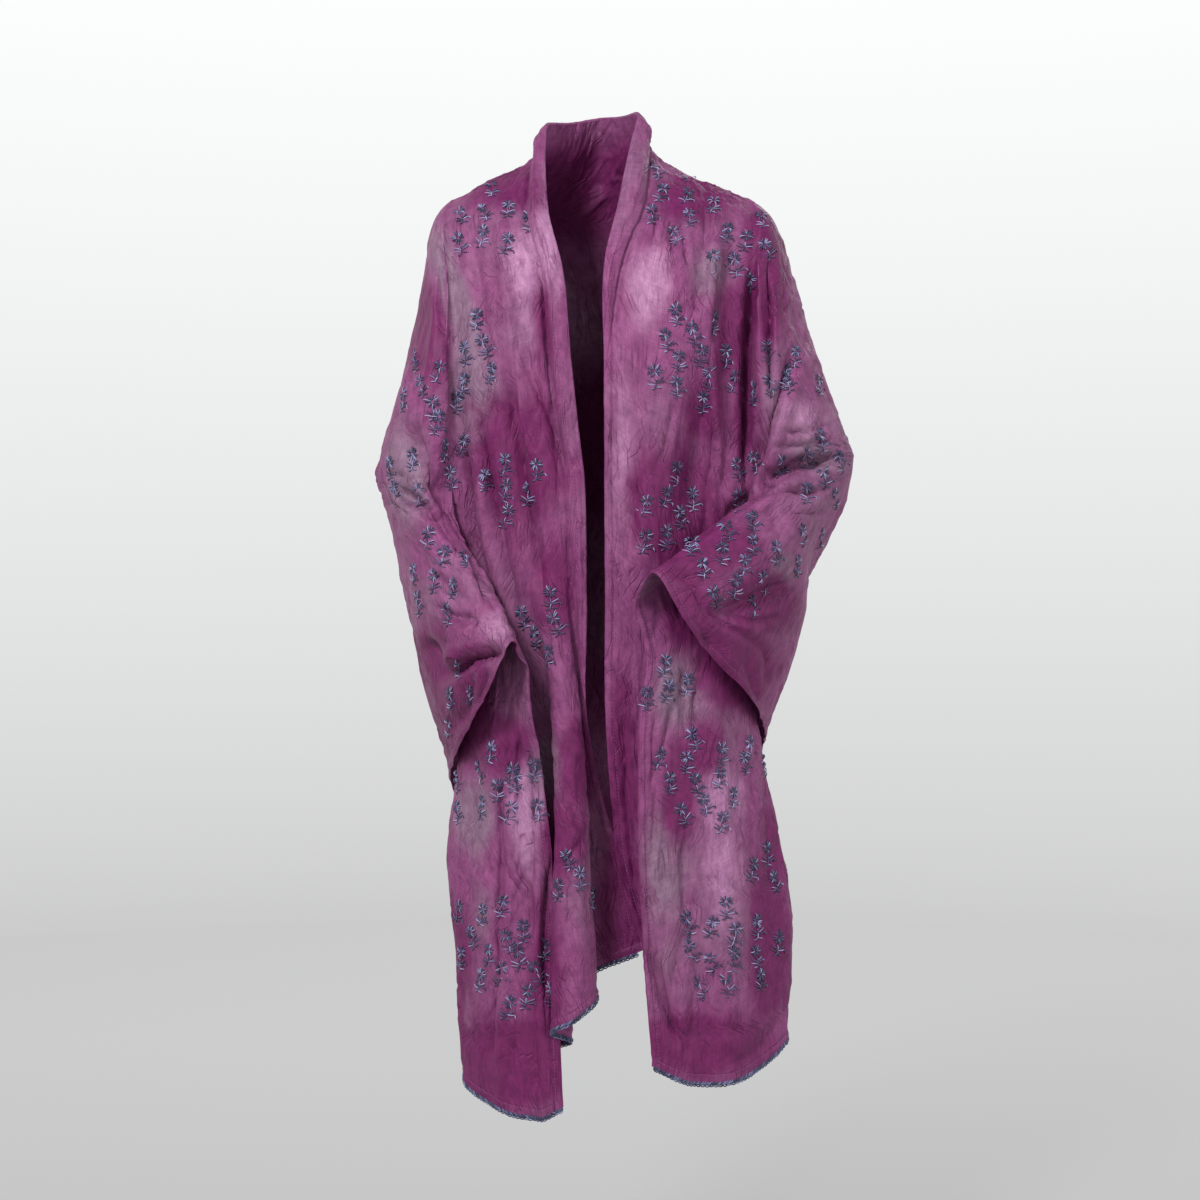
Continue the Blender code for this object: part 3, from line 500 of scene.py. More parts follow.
# The patches of dye, as they lie on the fronts and on the back. Some DEEP patches on the fronts are painted
# shade as well as dye: in and under the cuffs, on the forearms and on the dimmer flanks of the drapes.
FRONT_DYE_AND_SHADE_DABS = (
    Dab(Tone.DEEP, -138, -6, 75, 38, -20, 0.8),
    Dab(Tone.PALE, -94, -119, 28, 60, 0, 0.7),
    Dab(Tone.GREY, -176, -170, 20, 100, 18, 0.95),
    Dab(Tone.DEEP, -224, -195, 28, 75, 14, 1.0),
    Dab(Tone.GREY, -160, -270, 34, 80, 8, 0.8),
    Dab(Tone.PALE, -88, -225, 25, 75, 0, 0.35),
    Dab(Tone.GREY, -240, -385, 34, 72, 0, 0.85),
    Dab(Tone.DEEP, -96, -362, 55, 75, 0, 0.85),
    Dab(Tone.DEEP, -69, -200, 15, 75, 0, 0.45),
    Dab(Tone.PALE, -62, -69, 20, 110, 0, 0.75),
    Dab(Tone.PALE, -162, -488, 50, 45, 0, 0.3),
    Dab(Tone.PALE, -125, -570, 40, 22, 0, 0.5),
    # These four DEEP patches are partly dye and partly painted shade: on the right forearm, in and under the
    # right cuff, and between the cuffs.
    Dab(Tone.DEEP, -180, -672, 42, 75, 0, 1.0),
    Dab(Tone.DEEP, -225, -612, 28, 50, 0, 0.7),
    Dab(Tone.DEEP, -130, -716, 40, 34, 0, 0.85),
    Dab(Tone.DEEP, -28, -738, 24, 55, 0, 0.75),
    Dab(Tone.DEEP, -55, -525, 28, 69, 0, 0.6),
    Dab(Tone.GREY, -158, -806, 32, 62, 0, 0.8),
    Dab(Tone.PALE, -92, -812, 26, 80, 0, 0.8),
    Dab(Tone.GREY, -60, -744, 32, 40, 0, 0.75),
    Dab(Tone.DEEP, -50, -850, 30, 52, 0, 0.6),
    Dab(Tone.GREY, -150, -930, 24, 45, 0, 0.45),
    # These two DEEP patches are partly dye and partly painted shade, darkening the flanks of the right drape.
    Dab(Tone.DEEP, -184, -1005, 24, 110, 0, 0.7),
    Dab(Tone.DEEP, -66, -1040, 20, 110, 0, 0.75),
    Dab(Tone.DEEP, -119, -1119, 75, 56, 0, 0.9),
    Dab(Tone.PALE, -31, -950, 25, 75, 0, 0.3),
    Dab(Tone.DEEP, 25, -912, 25, 94, 0, 1.0),
    Dab(Tone.DEEP, 118, -32, 69, 34, 10, 0.65),
    Dab(Tone.PALE, 62, -150, 34, 62, 0, 0.8),
    Dab(Tone.GREY, 140, -128, 32, 40, 0, 0.7),
    Dab(Tone.DEEP, 169, -206, 30, 78, 0, 0.7),
    Dab(Tone.DEEP, 208, -125, 26, 80, 0, 0.95),
    Dab(Tone.DEEP, 132, -300, 34, 70, 0, 0.5),
    Dab(Tone.GREY, 215, -269, 18, 75, 0, 0.5),
    Dab(Tone.PALE, 250, -312, 40, 30, -20, 0.6),
    Dab(Tone.GREY, 272, -358, 45, 22, -15, 0.7),
    Dab(Tone.DEEP, 95, -438, 52, 78, 15, 1.0),
    Dab(Tone.PALE, 28, -338, 18, 138, 0, 0.6),
    Dab(Tone.DEEP, 181, -312, 15, 100, 0, 0.5),
    # Partly dye and partly painted shade, under the left cuff.
    Dab(Tone.DEEP, 112, -566, 38, 34, 0, 0.8),
    Dab(Tone.DEEP, 169, -475, 45, 32, 0, 0.45),
    Dab(Tone.GREY, 231, -502, 22, 32, 0, 0.6),
    Dab(Tone.DEEP, 206, -548, 40, 40, 0, 0.8),
    Dab(Tone.DEEP, 172, -622, 48, 44, 30, 1.0),
    Dab(Tone.DEEP, 28, -731, 18, 106, 0, 0.9),
    Dab(Tone.PALE, 34, -870, 14, 70, 0, 0.85),
    Dab(Tone.GREY, 100, -655, 40, 55, 0, 0.8),
    # Partly dye and partly painted shade, on the left fall below the cuff.
    Dab(Tone.DEEP, 128, -722, 34, 34, 0, 0.6),
    Dab(Tone.PALE, 152, -780, 34, 70, 0, 0.6),
    Dab(Tone.DEEP, 98, -782, 22, 75, 0, 0.5),
    Dab(Tone.GREY, 81, -869, 32, 78, 0, 0.75),
    Dab(Tone.PALE, 156, -894, 40, 65, 0, 0.55),
    # These two DEEP patches are painted shade as well as dye: the left drape's outer flank, darker where it
    # turns from the light.
    Dab(Tone.DEEP, 212, -960, 26, 120, 0, 0.85),
    Dab(Tone.DEEP, 222, -835, 18, 60, 0, 0.7),
    Dab(Tone.DEEP, 125, -1090, 75, 42, 0, 0.8),
    Dab(Tone.GREY, 85, -990, 19, 50, 0, 0.35),
)
BACK_DABS = (
    Dab(Tone.DEEP, 0, -20, 130, 60, 0, 0.8),
    Dab(Tone.PALE, -60, -170, 60, 70, 10, 0.7),
    Dab(Tone.GREY, 80, -150, 60, 80, -10, 0.6),
    Dab(Tone.DEEP, 20, -330, 80, 90, 0, 0.9),
    Dab(Tone.GREY, -150, -330, 60, 90, 0, 0.7),
    Dab(Tone.PALE, 150, -400, 60, 90, 0, 0.5),
    Dab(Tone.GREY, 30, -560, 90, 70, 0, 0.6),
    Dab(Tone.DEEP, -120, -610, 70, 90, 0, 0.8),
    Dab(Tone.DEEP, 160, -640, 60, 90, 0, 0.7),
    Dab(Tone.PALE, 40, -730, 70, 60, 0, 0.6),
    Dab(Tone.DEEP, 0, -850, 160, 50, 0, 0.8),
    Dab(Tone.GREY, -280, -380, 60, 80, 0, 0.7),
    Dab(Tone.GREY, 280, -380, 60, 80, 0, 0.6),
)

CLUSTERS = (
    Cluster("front_right", View.FRONT, -140, -62, 8, 1.1),
    Cluster("front_right", View.FRONT, -152, -228, 5, 0.6),
    Cluster("front_right", View.FRONT, -108, -395, 6, 0.8),
    Cluster("front_right", View.FRONT, -75, -572, 5, 0.8),
    Cluster("front_right", View.FRONT, -32, -894, 4, 0.9),
    Cluster("arm_right", View.FRONT, -214, -275, 6),
    Cluster("arm_right", View.FRONT, -255, -380, 5),
    Cluster("arm_right", View.FRONT, -188, -340, 4, 0.6),
    Cluster("arm_right", View.FRONT, -208, -500, 9, 0.8),
    Cluster("arm_right", View.FRONT, -183, -672, 6, 0.7),
    Cluster("drape_cloth_right", View.FRONT, -140, -770, 8, 1.1),
    Cluster("drape_cloth_right", View.FRONT, -72, -768, 5, 0.8),
    Cluster("drape_cloth_right", View.FRONT, -150, -960, 8, 0.8),
    Cluster("drape_cloth_right", View.FRONT, -90, -1000, 9, 0.8),
    Cluster("front_left", View.FRONT, 98, -35, 9, 1.1),
    Cluster("front_left", View.FRONT, 182, -100, 7, 0.8),
    Cluster("front_left", View.FRONT, 118, -238, 12, 0.9),
    Cluster("front_left", View.FRONT, 90, -428, 8, 0.8),
    Cluster("front_left", View.FRONT, 176, -385, 3, 0.6),
    Cluster("arm_left", View.FRONT, 208, -255, 4, 0.55),
    Cluster("arm_left", View.FRONT, 262, -240, 5, 0.8),
    Cluster("arm_left", View.FRONT, 268, -378, 7, 1.2),
    Cluster("arm_left", View.FRONT, 168, -492, 12, 1.1),
    Cluster("arm_left", View.FRONT, 255, -470, 3, 0.6),
    Cluster("drape_cloth_left", View.FRONT, 78, -640, 5, 0.9),
    Cluster("drape_cloth_left", View.FRONT, 128, -758, 12),
    Cluster("drape_cloth_left", View.FRONT, 208, -730, 3, 0.6),
    Cluster("drape_cloth_left", View.FRONT, 215, -862, 4, 0.6),
    Cluster("drape_cloth_left", View.FRONT, 162, -975, 13),
    Cluster("back", View.BACK, 0, -50, 9),
    Cluster("back", View.BACK, -115, -150, 9),
    Cluster("back", View.BACK, 115, -190, 9),
    Cluster("back", View.BACK, -5, -290, 9),
    Cluster("back", View.BACK, -112, -410, 8),
    Cluster("back", View.BACK, 112, -450, 8),
    Cluster("back", View.BACK, 0, -530, 9),
    Cluster("back", View.BACK, -100, -660, 8),
    Cluster("back", View.BACK, 100, -700, 8),
    Cluster("back", View.BACK, -5, -770, 7),
    Cluster("arm_left", View.BACK, 245, -260, 6, 0.9),
    Cluster("arm_left", View.BACK, 220, -560, 7, 0.8),
    Cluster("arm_right", View.BACK, -228, -250, 6, 0.9),
    Cluster("arm_right", View.BACK, -210, -560, 7, 0.8),
)


def smooth_step(value: np.ndarray) -> np.ndarray:
    """0 up to 0, 1 from 1 on, and a smooth rise between them."""
    value = np.clip(value, 0.0, 1.0)
    return value * value * (3.0 - 2.0 * value)


def segment_points(ends: Sequence[np.ndarray], shares: np.ndarray) -> np.ndarray:
    """Points on centripetal Catmull-Rom segments.

    Args:
        ends: the points before, at the start, at the end and after, each (..., 3).
        shares: the places along the segment, (count,).

    Returns:
        The points, (..., count, 3).
    """
    knots = [np.zeros(ends[0].shape[:-1])]
    for first, second in zip(ends, ends[1:]):
        knots.append(knots[-1] + np.maximum(np.linalg.norm(second - first, axis=-1), 1e-9) ** 0.5)
    knots = [knot[..., None, None] for knot in knots]
    before, start, end, after = (point[..., None, :] for point in ends)
    at = knots[1] + shares[:, None] * (knots[2] - knots[1])

    def blend(one: np.ndarray, two: np.ndarray, low: np.ndarray, high: np.ndarray) -> np.ndarray:
        """The mix of two points by where the knot lies between two others."""
        share = (at - low) / (high - low)
        return one * (1.0 - share) + two * share

    one = blend(before, start, knots[0], knots[1])
    two = blend(start, end, knots[1], knots[2])
    three = blend(end, after, knots[2], knots[3])
    low = blend(one, two, knots[0], knots[2])
    high = blend(two, three, knots[1], knots[3])
    return blend(low, high, knots[1], knots[2])


def smooth_run(
    points: Sequence[Any], steps: int | Sequence[int], lead: np.ndarray | None = None
) -> np.ndarray:
    """A smooth run through points, whose steps between each two are even.

    Args:
        points: the places to pass through, each (..., 3).
        steps: one number of steps for every stretch, or one for each.
        lead: the point that comes before the first one and sets the direction there.

    Returns:
        The run, (..., count, 3).
    """
    places = [np.asarray(point, dtype=float) for point in points]
    each = [steps] * (len(places) - 1) if isinstance(steps, int) else list(steps)
    before = 2 * places[0] - places[1] if lead is None else lead
    ends = [before, *places, 2 * places[-1] - places[-2]]
    parts = []
    for index, count in enumerate(each):
        parts.append(segment_points(ends[index : index + 4], np.arange(count) / count))
    parts.append(places[-1][..., None, :])
    return np.concatenate(parts, axis=-2)


def loft(rails: Sequence[np.ndarray], steps: int) -> np.ndarray:
    """A grid whose rows run as smooth curves from the first rail to the last."""
    return smooth_run(rails, steps)


def columns(table: Sequence[Sequence[Any]]) -> list[list[Any]]:
    """The table's columns, each as a list of points."""
    return [list(column) for column in zip(*table)]


def unit(vectors: np.ndarray) -> np.ndarray:
    """The vectors at length 1."""
    return vectors / np.maximum(np.linalg.norm(vectors, axis=-1, keepdims=True), 1e-9)


def normals(grid: np.ndarray) -> np.ndarray:
    """The unit normal at each point of a grid, along its rows' direction crossed with its columns'."""
    return unit(np.cross(np.gradient(grid, axis=0), np.gradient(grid, axis=1)))


def arc_lengths(grid: np.ndarray, axis: int) -> np.ndarray:
    """How far each point lies along its row or column, in mm.

    Args:
        grid: the points, (rows, columns, 3).
        axis: 1 along the rows, 0 along the columns.

    Returns:
        The distances, (rows, columns).
    """
    steps = np.linalg.norm(np.diff(grid, axis=axis), axis=-1)
    zeros = np.zeros_like(np.take(steps, [0], axis=axis))
    return np.concatenate([zeros, np.cumsum(steps, axis=axis)], axis=axis)


def ease_first_row(grid: np.ndarray, goal: np.ndarray, reach: int) -> np.ndarray:
    """Move the first rows of a grid by less and less, so that the first one lies on its goal.

    Args:
        grid: the points, (rows, columns, 3), which are changed.
        goal: the first row's new points.
        reach: how many rows move.

    Returns:
        The grid.
    """
    share = 1.0 - smooth_step(np.arange(reach) / reach)
    grid[:reach] += (goal - grid[0])[None] * share[:, None, None]
    return grid


def seen(points: np.ndarray, view: View) -> np.ndarray:
    """Where points show, from the camera or from behind.

    Args:
        points: the points, (..., 3).
        view: the side.

    Returns:
        Their places on the upright plane through the origin, in mm, (..., 2).
    """
    if view is View.BACK:
        return points[..., (0, 2)]
    nearness = (CAMERA_DISTANCE + points[..., 1]) / CAMERA_DISTANCE
    height = EYE_HEIGHT + (points[..., 2] - EYE_HEIGHT) / nearness
    return np.stack([points[..., 0] / nearness, height], axis=-1)


def facing(points: np.ndarray, outward: np.ndarray, view: View) -> np.ndarray:
    """How far a surface faces the viewer, from -1 to 1."""
    eye = np.array((0.0, -CAMERA_DISTANCE if view is View.FRONT else 1e5, EYE_HEIGHT))
    return np.sum(unit(eye - points) * outward, axis=-1)


def noise_at(places: np.ndarray) -> np.ndarray:
    """Smooth noise from -1 to 1.

    Args:
        places: the places, (..., 3).

    Returns:
        The noise at each.
    """
    flat = places.reshape(-1, 3)
    values = np.fromiter((noise.noise(place) for place in flat.tolist()), dtype=float, count=len(flat))
    return values.reshape(places.shape[:-1])


def crease_relief(places: np.ndarray, crease: Crease) -> np.ndarray:
    """How far a crease raises the cloth, in mm.

    Args:
        places: the cloth's points as the crease's view shows them, (count, 2).
        crease: the trough and its roll.

    Returns:
        The height at each point.
    """
    line = smooth_run([(x, z, 0.0) for x, z in crease.line], 6)[:, :2]
    steps = np.diff(line, axis=0)
    starts = np.concatenate([[0.0], np.cumsum(np.linalg.norm(steps, axis=1))])
    reach = 6 * crease.width
    near = np.all((places > line.min(axis=0) - reach) & (places < line.max(axis=0) + reach), axis=1)
    heights = np.zeros(len(places))
    offset = places[near, None] - line[None, :-1]
    share = np.clip(np.sum(offset * steps, axis=-1) / np.sum(steps * steps, axis=-1), 0.0, 1.0)
    away = np.linalg.norm(offset - share[..., None] * steps, axis=-1)
    index = (np.arange(len(away)), np.argmin(away, axis=1))
    step, offset, away = steps[index[1]], offset[index], away[index]
    left = np.sign(step[:, 0] * offset[:, 1] - step[:, 1] * offset[:, 0]) * math.copysign(1.0, crease.roll)
    along = (starts[index[1]] + share[index] * np.linalg.norm(step, axis=1)) / starts[-1]
    trough = -crease.depth * PRESS * np.exp(-((away / crease.width) ** 1.4))
    ridge = abs(crease.roll) * np.exp(-(((away * left - 2.2 * crease.width) / (1.4 * crease.width)) ** 2))
    heights[near] = (trough + ridge) * smooth_step(along * 4.0) * smooth_step((1.0 - along) * 4.0)
    return heights


@dataclass
class Sheet:
    """One sheet of the cloth: a grid of points in mm, whose rows run down the cloth.

    Attributes:
        name: the piece's name.
        grid: the points, (rows, columns, 3).
        turn: 1 where the rows' direction crossed with the columns' points outwards, otherwise -1.
        nodes: the solids that the piece stands for.
        flat: the width and length in metres that this stretch was cut to.
        rests_on: the nodes that it lies on or hangs from.
        hems: the edges with a sewn hem, by the names that edge_distance knows.
        held: whether the first column, last column, first row and last row join another stretch.
        smooth: the grid before it was creased.
        stitches: the pieces sewn to it.
    """

    name: str
    grid: np.ndarray
    turn: int
    nodes: tuple[str, ...]
    flat: tuple[float, float]
    rests_on: tuple[str, ...]
    hems: tuple[str, ...]
    held: tuple[bool, bool, bool, bool]
    smooth: np.ndarray | None = None
    stitches: list[bpy.types.Object] = field(default_factory=list)

    def outward(self) -> np.ndarray:
        """The unit normal at each point, away from the wearer."""
        return normals(self.grid) * self.turn

    def edge_distance(self, edge: str) -> np.ndarray:
        """How far each point lies from an edge along the cloth, in mm.

        Args:
            edge: "first column", "last column", "first row" or "last row".

        Returns:
            The distances.
        """
        axis = 1 if edge.endswith("column") else 0
        run = arc_lengths(self.grid, axis)
        return run if edge.startswith("first") else np.take(run, [-1], axis=axis) - run

    def hem_relief(self) -> np.ndarray:
        """The height of the sewn hems: a soft, puckered ridge inside a groove.

        Returns:
            The height at each point, in mm.
        """
        height = np.zeros(self.grid.shape[:2])
        for edge in self.hems:
            along = arc_lengths(self.grid, 0 if edge.endswith("column") else 1)
            distance = self.edge_distance(edge)
            puckers = noise_at(np.stack([along / 9.0, distance / 16.0, np.full_like(along, 5.0)], axis=-1))
            ridge = (1.1 + 1.3 * puckers) * np.exp(-(((distance - 4.5) / 4.0) ** 2))
            height += ridge - (0.9 - 0.7 * puckers) * np.exp(-(((distance - 11.0) / 3.0) ** 2))
        return height

    def cloth_map(self) -> np.ndarray:
        """Each point's place on the cloth, in metres across and down it."""
        return np.stack([arc_lengths(self.grid, 1), arc_lengths(self.grid, 0)], axis=-1) * MM

    def hem_distance(self) -> np.ndarray:
        """How far each point lies from the nearest hemmed edge.

        Returns:
            The distances in metres, or 1 where there is no hem.
        """
        if not self.hems:
            return np.full(self.grid.shape[:2], 1.0)
        return np.min([self.edge_distance(edge) for edge in self.hems], axis=0) * MM

    def measured(self) -> tuple[float, float, float]:
        """The sheet's sizes as built.

        Returns:
            Its mean width and length and its area, in metres.
        """
        area = 0.0
        for corner in (self.grid, self.grid[::-1, ::-1]):
            sides = np.cross(corner[1:, :-1] - corner[:-1, :-1], corner[:-1, 1:] - corner[:-1, :-1])
            area += 0.5 * float(np.sum(np.linalg.norm(sides, axis=-1)))
        width = float(np.mean(arc_lengths(self.grid, 1)[:, -1]))
        length = float(np.mean(arc_lengths(self.grid, 0)[-1]))
        return width * MM, length * MM, area * MM * MM

    def build(self, material: bpy.types.Material) -> bpy.types.Object:
        """Make the sheet's mesh, with its cloth map, hem and dye attributes, as a thin closed shell.

        Args:
            material: the sheet's finish.

        Returns:
            The piece.
        """
        rows, across = self.grid.shape[:2]
        index = np.arange(rows * across).reshape(rows, across)
        corners = (index[:-1, :-1], index[1:, :-1], index[1:, 1:], index[:-1, 1:])
        if self.turn < 0:
            corners = corners[::-1]
        faces = np.stack([corner.ravel() for corner in corners], axis=-1)
        mesh = bpy.data.meshes.new(self.name)
        mesh.from_pydata((self.grid.reshape(-1, 3) * MM).tolist(), [], faces.tolist())
        cloth = mesh.uv_layers.new(name="cloth")
        cloth.data.foreach_set("uv", self.cloth_map().reshape(-1, 2)[faces.ravel()].ravel())
        hem = mesh.attributes.new("hem", "FLOAT", "POINT")
        hem.data.foreach_set("value", self.hem_distance().ravel())
        # The dye attribute also carries the painted shade of some DEEP patches.
        dye = mesh.attributes.new("dye", "FLOAT_COLOR", "POINT")
        dye.data.foreach_set("color", dye_and_shade_map(self.grid, self.outward()).ravel())
        mesh.materials.append(material)
        mesh.shade_smooth()
        sheet = new_object(self.name, mesh)
        wall = sheet.modifiers.new("wall", "SOLIDIFY")
        wall.thickness = SHEET_THICKNESS * MM
        wall.offset = 0.0
        baked = bake(sheet)
        baked.data.set_sharp_from_angle(angle=SHARP_ANGLE)
        return baked

    def dress(self, piece: bpy.types.Object) -> None:
        """Attach the piece to the frame's body and hide the solids that it stands for.

        Args:
            piece: the finished sheet.
        """
        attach(piece, BODY)
        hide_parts(*self.nodes)


# The DEEP channel of this map also carries the painted shade of some front patches.
def dye_and_shade_map(grid: np.ndarray, outward: np.ndarray) -> np.ndarray:
    """The strength of each tone of dye at each point, from the dabs.

    Args:
        grid: the points, (rows, columns, 3).
        outward: their normals.

    Returns:
        Four numbers for each point: deep, pale, grey and 1.
    """
    map_ = np.zeros((*grid.shape[:2], 4))
    map_[..., 3] = 1.0
    front = smooth_step((facing(grid, outward, View.FRONT) + 0.35) / 0.7)
    for view, dabs, share in ((View.FRONT, FRONT_DYE_AND_SHADE_DABS, front), (View.BACK, BACK_DABS, 1.0 - front)):
        places = seen(grid, view)
        for dab in dabs:
            tilt = math.radians(dab.tilt)
            x, z = places[..., 0] - dab.x, places[..., 1] - dab.z
            across = (x * math.cos(tilt) + z * math.sin(tilt)) / dab.wide
            down = (z * math.cos(tilt) - x * math.sin(tilt)) / dab.tall
            strength = dab.strength * np.exp(-0.9 * (across**2 + down**2)) * share
            channel = map_[..., dab.tone.value]
            np.maximum(channel, strength + channel * (1.0 - strength) * 0.5, out=channel)
    return map_


def new_object(name: str, data: Any) -> bpy.types.Object:
    """Put an object in the scene.

    Args:
        name: its name.
        data: what it holds.

    Returns:
        The object.
    """
    made = bpy.data.objects.new(name, data)
    bpy.context.scene.collection.objects.link(made)
    return made


def bake(source: bpy.types.Object) -> bpy.types.Object:
    """Turn an object with its modifiers into a plain mesh of the same name.

    Args:
        source: the object, which is removed.

    Returns:
        The plain object.
    """
    name = source.name
    graph = bpy.context.evaluated_depsgraph_get()
    finished = source.evaluated_get(graph)
    mesh = bpy.data.meshes.new_from_object(finished, preserve_all_data_layers=True, depsgraph=graph)
    bpy.data.objects.remove(source)
    mesh.name = name
    return new_object(name, mesh)


class NodeBench:
    """Adds nodes to one tree and wires them."""

    def __init__(self, tree: bpy.types.NodeTree) -> None:
        """Work on a tree."""
        self.tree = tree

    def add(self, kind: str, settings: dict[str, Any] | None = None) -> bpy.types.Node:
        """A new node with its settings.

        Args:
            kind: the node's type.
            settings: its properties' values by name.

        Returns:
            The node.
        """
        node = self.tree.nodes.new(kind)
        for key, value in (settings or {}).items():
            setattr(node, key, value)
        return node

    def feed(self, node: bpy.types.Node, inputs: dict[int | str, Any]) -> bpy.types.Node:
        """Set or link a node's inputs.

        Args:
            node: the node.
            inputs: sockets to link from, or values, by input name or number.

        Returns:
            The node.
        """
        for key, value in inputs.items():
            if isinstance(value, bpy.types.NodeSocket):
                self.tree.links.new(value, node.inputs[key])
            else:
                node.inputs[key].default_value = value
        return node

    def make(
        self, kind: str, settings: dict[str, Any] | None, inputs: dict[int | str, Any]
    ) -> bpy.types.Node:
        """A new node with its settings and its inputs set or linked."""
        return self.feed(self.add(kind, settings), inputs)

    def math(self, operation: str, *values: Any) -> bpy.types.NodeSocket:
        """The result of a Math node."""
        return self.make("ShaderNodeMath", {"operation": operation}, dict(enumerate(values))).outputs[0]

    def scaled(self, vector: Any, scale: tuple[float, float, float]) -> bpy.types.NodeSocket:
        """A vector multiplied by another."""
        node = self.make("ShaderNodeVectorMath", {"operation": "MULTIPLY"}, {0: vector, 1: scale})
        return node.outputs[0]

    def noise(
        self, vector: Any, scale: float, detail: float, roughness: float = 0.55
    ) -> bpy.types.NodeSocket:
        """The value of a Noise Texture."""
        inputs = {"Vector": vector, "Scale": scale, "Detail": detail, "Roughness": roughness}
        return self.make("ShaderNodeTexNoise", None, inputs).outputs["Fac"]

    def ramp(self, value: Any, low: float, high: float) -> bpy.types.NodeSocket:
        """A smooth rise from 0 to 1.

        Args:
            value: the value that drives it.
            low: the value up to which it is 0.
            high: the value from which it is 1.

        Returns:
            The rise.
        """
        settings = {"interpolation_type": "SMOOTHSTEP"}
        inputs = {"Value": value, "From Min": low, "From Max": high}
        return self.make("ShaderNodeMapRange", settings, inputs).outputs[0]

    def blend(self, share: Any, one: Any, two: Any, mode: str = "MIX") -> bpy.types.NodeSocket:
        """A mix of two colours.

        Args:
            share: how much of the second.
            one: the first.
            two: the second.
            mode: the way to mix them.

        Returns:
            The mix.
        """
        node = self.add("ShaderNodeMix", {"data_type": "RGBA", "blend_type": mode})
        self.feed(node, {0: share, 6: one, 7: two})
        return node.outputs[2]


def new_group(
    name: str, inputs: Sequence[tuple[str, str]], outputs: Sequence[tuple[str, str]]
) -> tuple[NodeBench, bpy.types.Node, bpy.types.Node]:
    """A shader node group with its named sockets.

    Args:
        name: the group's name.
        inputs: each input's name and kind.
        outputs: each output's name and kind.

    Returns:
        The bench to fill it on, its input node and its output node.
    """
    group = bpy.data.node_groups.new(name, "ShaderNodeTree")
    for direction, sockets in (("INPUT", inputs), ("OUTPUT", outputs)):
        for label, kind in sockets:
            group.interface.new_socket(label, in_out=direction, socket_type=f"NodeSocket{kind}")
    bench = NodeBench(group)
    return bench, bench.add("NodeGroupInput"), bench.add("NodeGroupOutput")


def dye_bath() -> bpy.types.NodeTree:
    """The group that lays the tones of dye over each other with uneven, cloudy borders, and darkens the
    pressed crease lines towards the darkest dye as painted shade.

    Returns:
        The group.
    """
    inputs = [("Tones", "Color"), ("Position", "Vector"), ("Cloth", "Vector"), ("Blotch", "Float")]
    inputs += [("Crease_Shade", "Float")]
    inputs += [(f"{tone} Dye", "Color") for tone in ("Base", "Deep", "Pale", "Grey")]
    bench, source, result = new_group("dye_bath", inputs, [("Color", "Color")])
    tones = bench.make("ShaderNodeSeparateColor", None, {0: source.outputs["Tones"]})
    clouds = bench.noise(source.outputs["Position"], 11.0, 5.0, 0.6)
    runs = bench.noise(bench.scaled(source.outputs["Cloth"], (30.0, 9.0, 1.0)), 1.0, 4.0, 0.6)
    uneven = bench.math("SUBTRACT", bench.math("ADD", clouds, bench.math("MULTIPLY", runs, 0.7)), 0.85)
    uneven = bench.math("MULTIPLY", uneven, source.outputs["Blotch"])
    drift = bench.ramp(bench.noise(source.outputs["Position"], 5.0, 3.0), 0.42, 0.68)
    drift = bench.math("MULTIPLY", drift, 0.5)
    colour: Any = bench.blend(drift, source.outputs["Base Dye"], source.outputs["Grey Dye"])
    layers = ((Tone.PALE, 0.18, 0.80), (Tone.GREY, 0.16, 0.72), (Tone.DEEP, 0.08, 0.52))
    for tone, low, high in layers:
        label = tone.name.title()
        share = bench.ramp(bench.math("ADD", tones.outputs[tone.value], uneven), low, high)
        colour = bench.blend(share, colour, source.outputs[f"{label} Dye"])
    stains = bench.noise(source.outputs["Position"], 70.0, 6.0, 0.68)
    streaks = bench.noise(bench.scaled(source.outputs["Cloth"], (170.0, 34.0, 1.0)), 1.0, 4.0, 0.65)
    mottle = bench.ramp(bench.math("ADD", stains, bench.math("MULTIPLY", streaks, 0.6)), 0.5, 1.1)
    mottle = bench.blend(mottle, (0.76, 0.68, 0.76, 1.0), (1.20, 1.27, 1.18, 1.0))
    colour = bench.blend(1.0, colour, mottle, "MULTIPLY")
    # Painted shade: the pressed crease lines are darkened towards the darkest dye.
    painted_crease_shade = bench.math("MULTIPLY", source.outputs["Crease_Shade"], 0.34)
    colour = bench.blend(painted_crease_shade, colour, source.outputs["Deep Dye"])
    bench.feed(result, {"Color": colour})
    return bench.tree


def slub_weave() -> bpy.types.NodeTree:
    """The group for a plain weave with slubs, on a map in metres.

    Returns:
        The group.
    """
    outputs = [("Height", "Float"), ("Slub", "Float")]
    bench, source, result = new_group("slub_weave", [("Cloth", "Vector")], outputs)
    warp = bench.noise(bench.scaled(source.outputs["Cloth"], (620.0, 26.0, 1.0)), 1.0, 3.0, 0.7)
    weft = bench.noise(bench.scaled(source.outputs["Cloth"], (22.0, 620.0, 1.0)), 1.0, 3.0, 0.7)
    slub = bench.math("ADD", warp, weft)
    bench.feed(result, {"Height": slub, "Slub": slub})
    return bench.tree


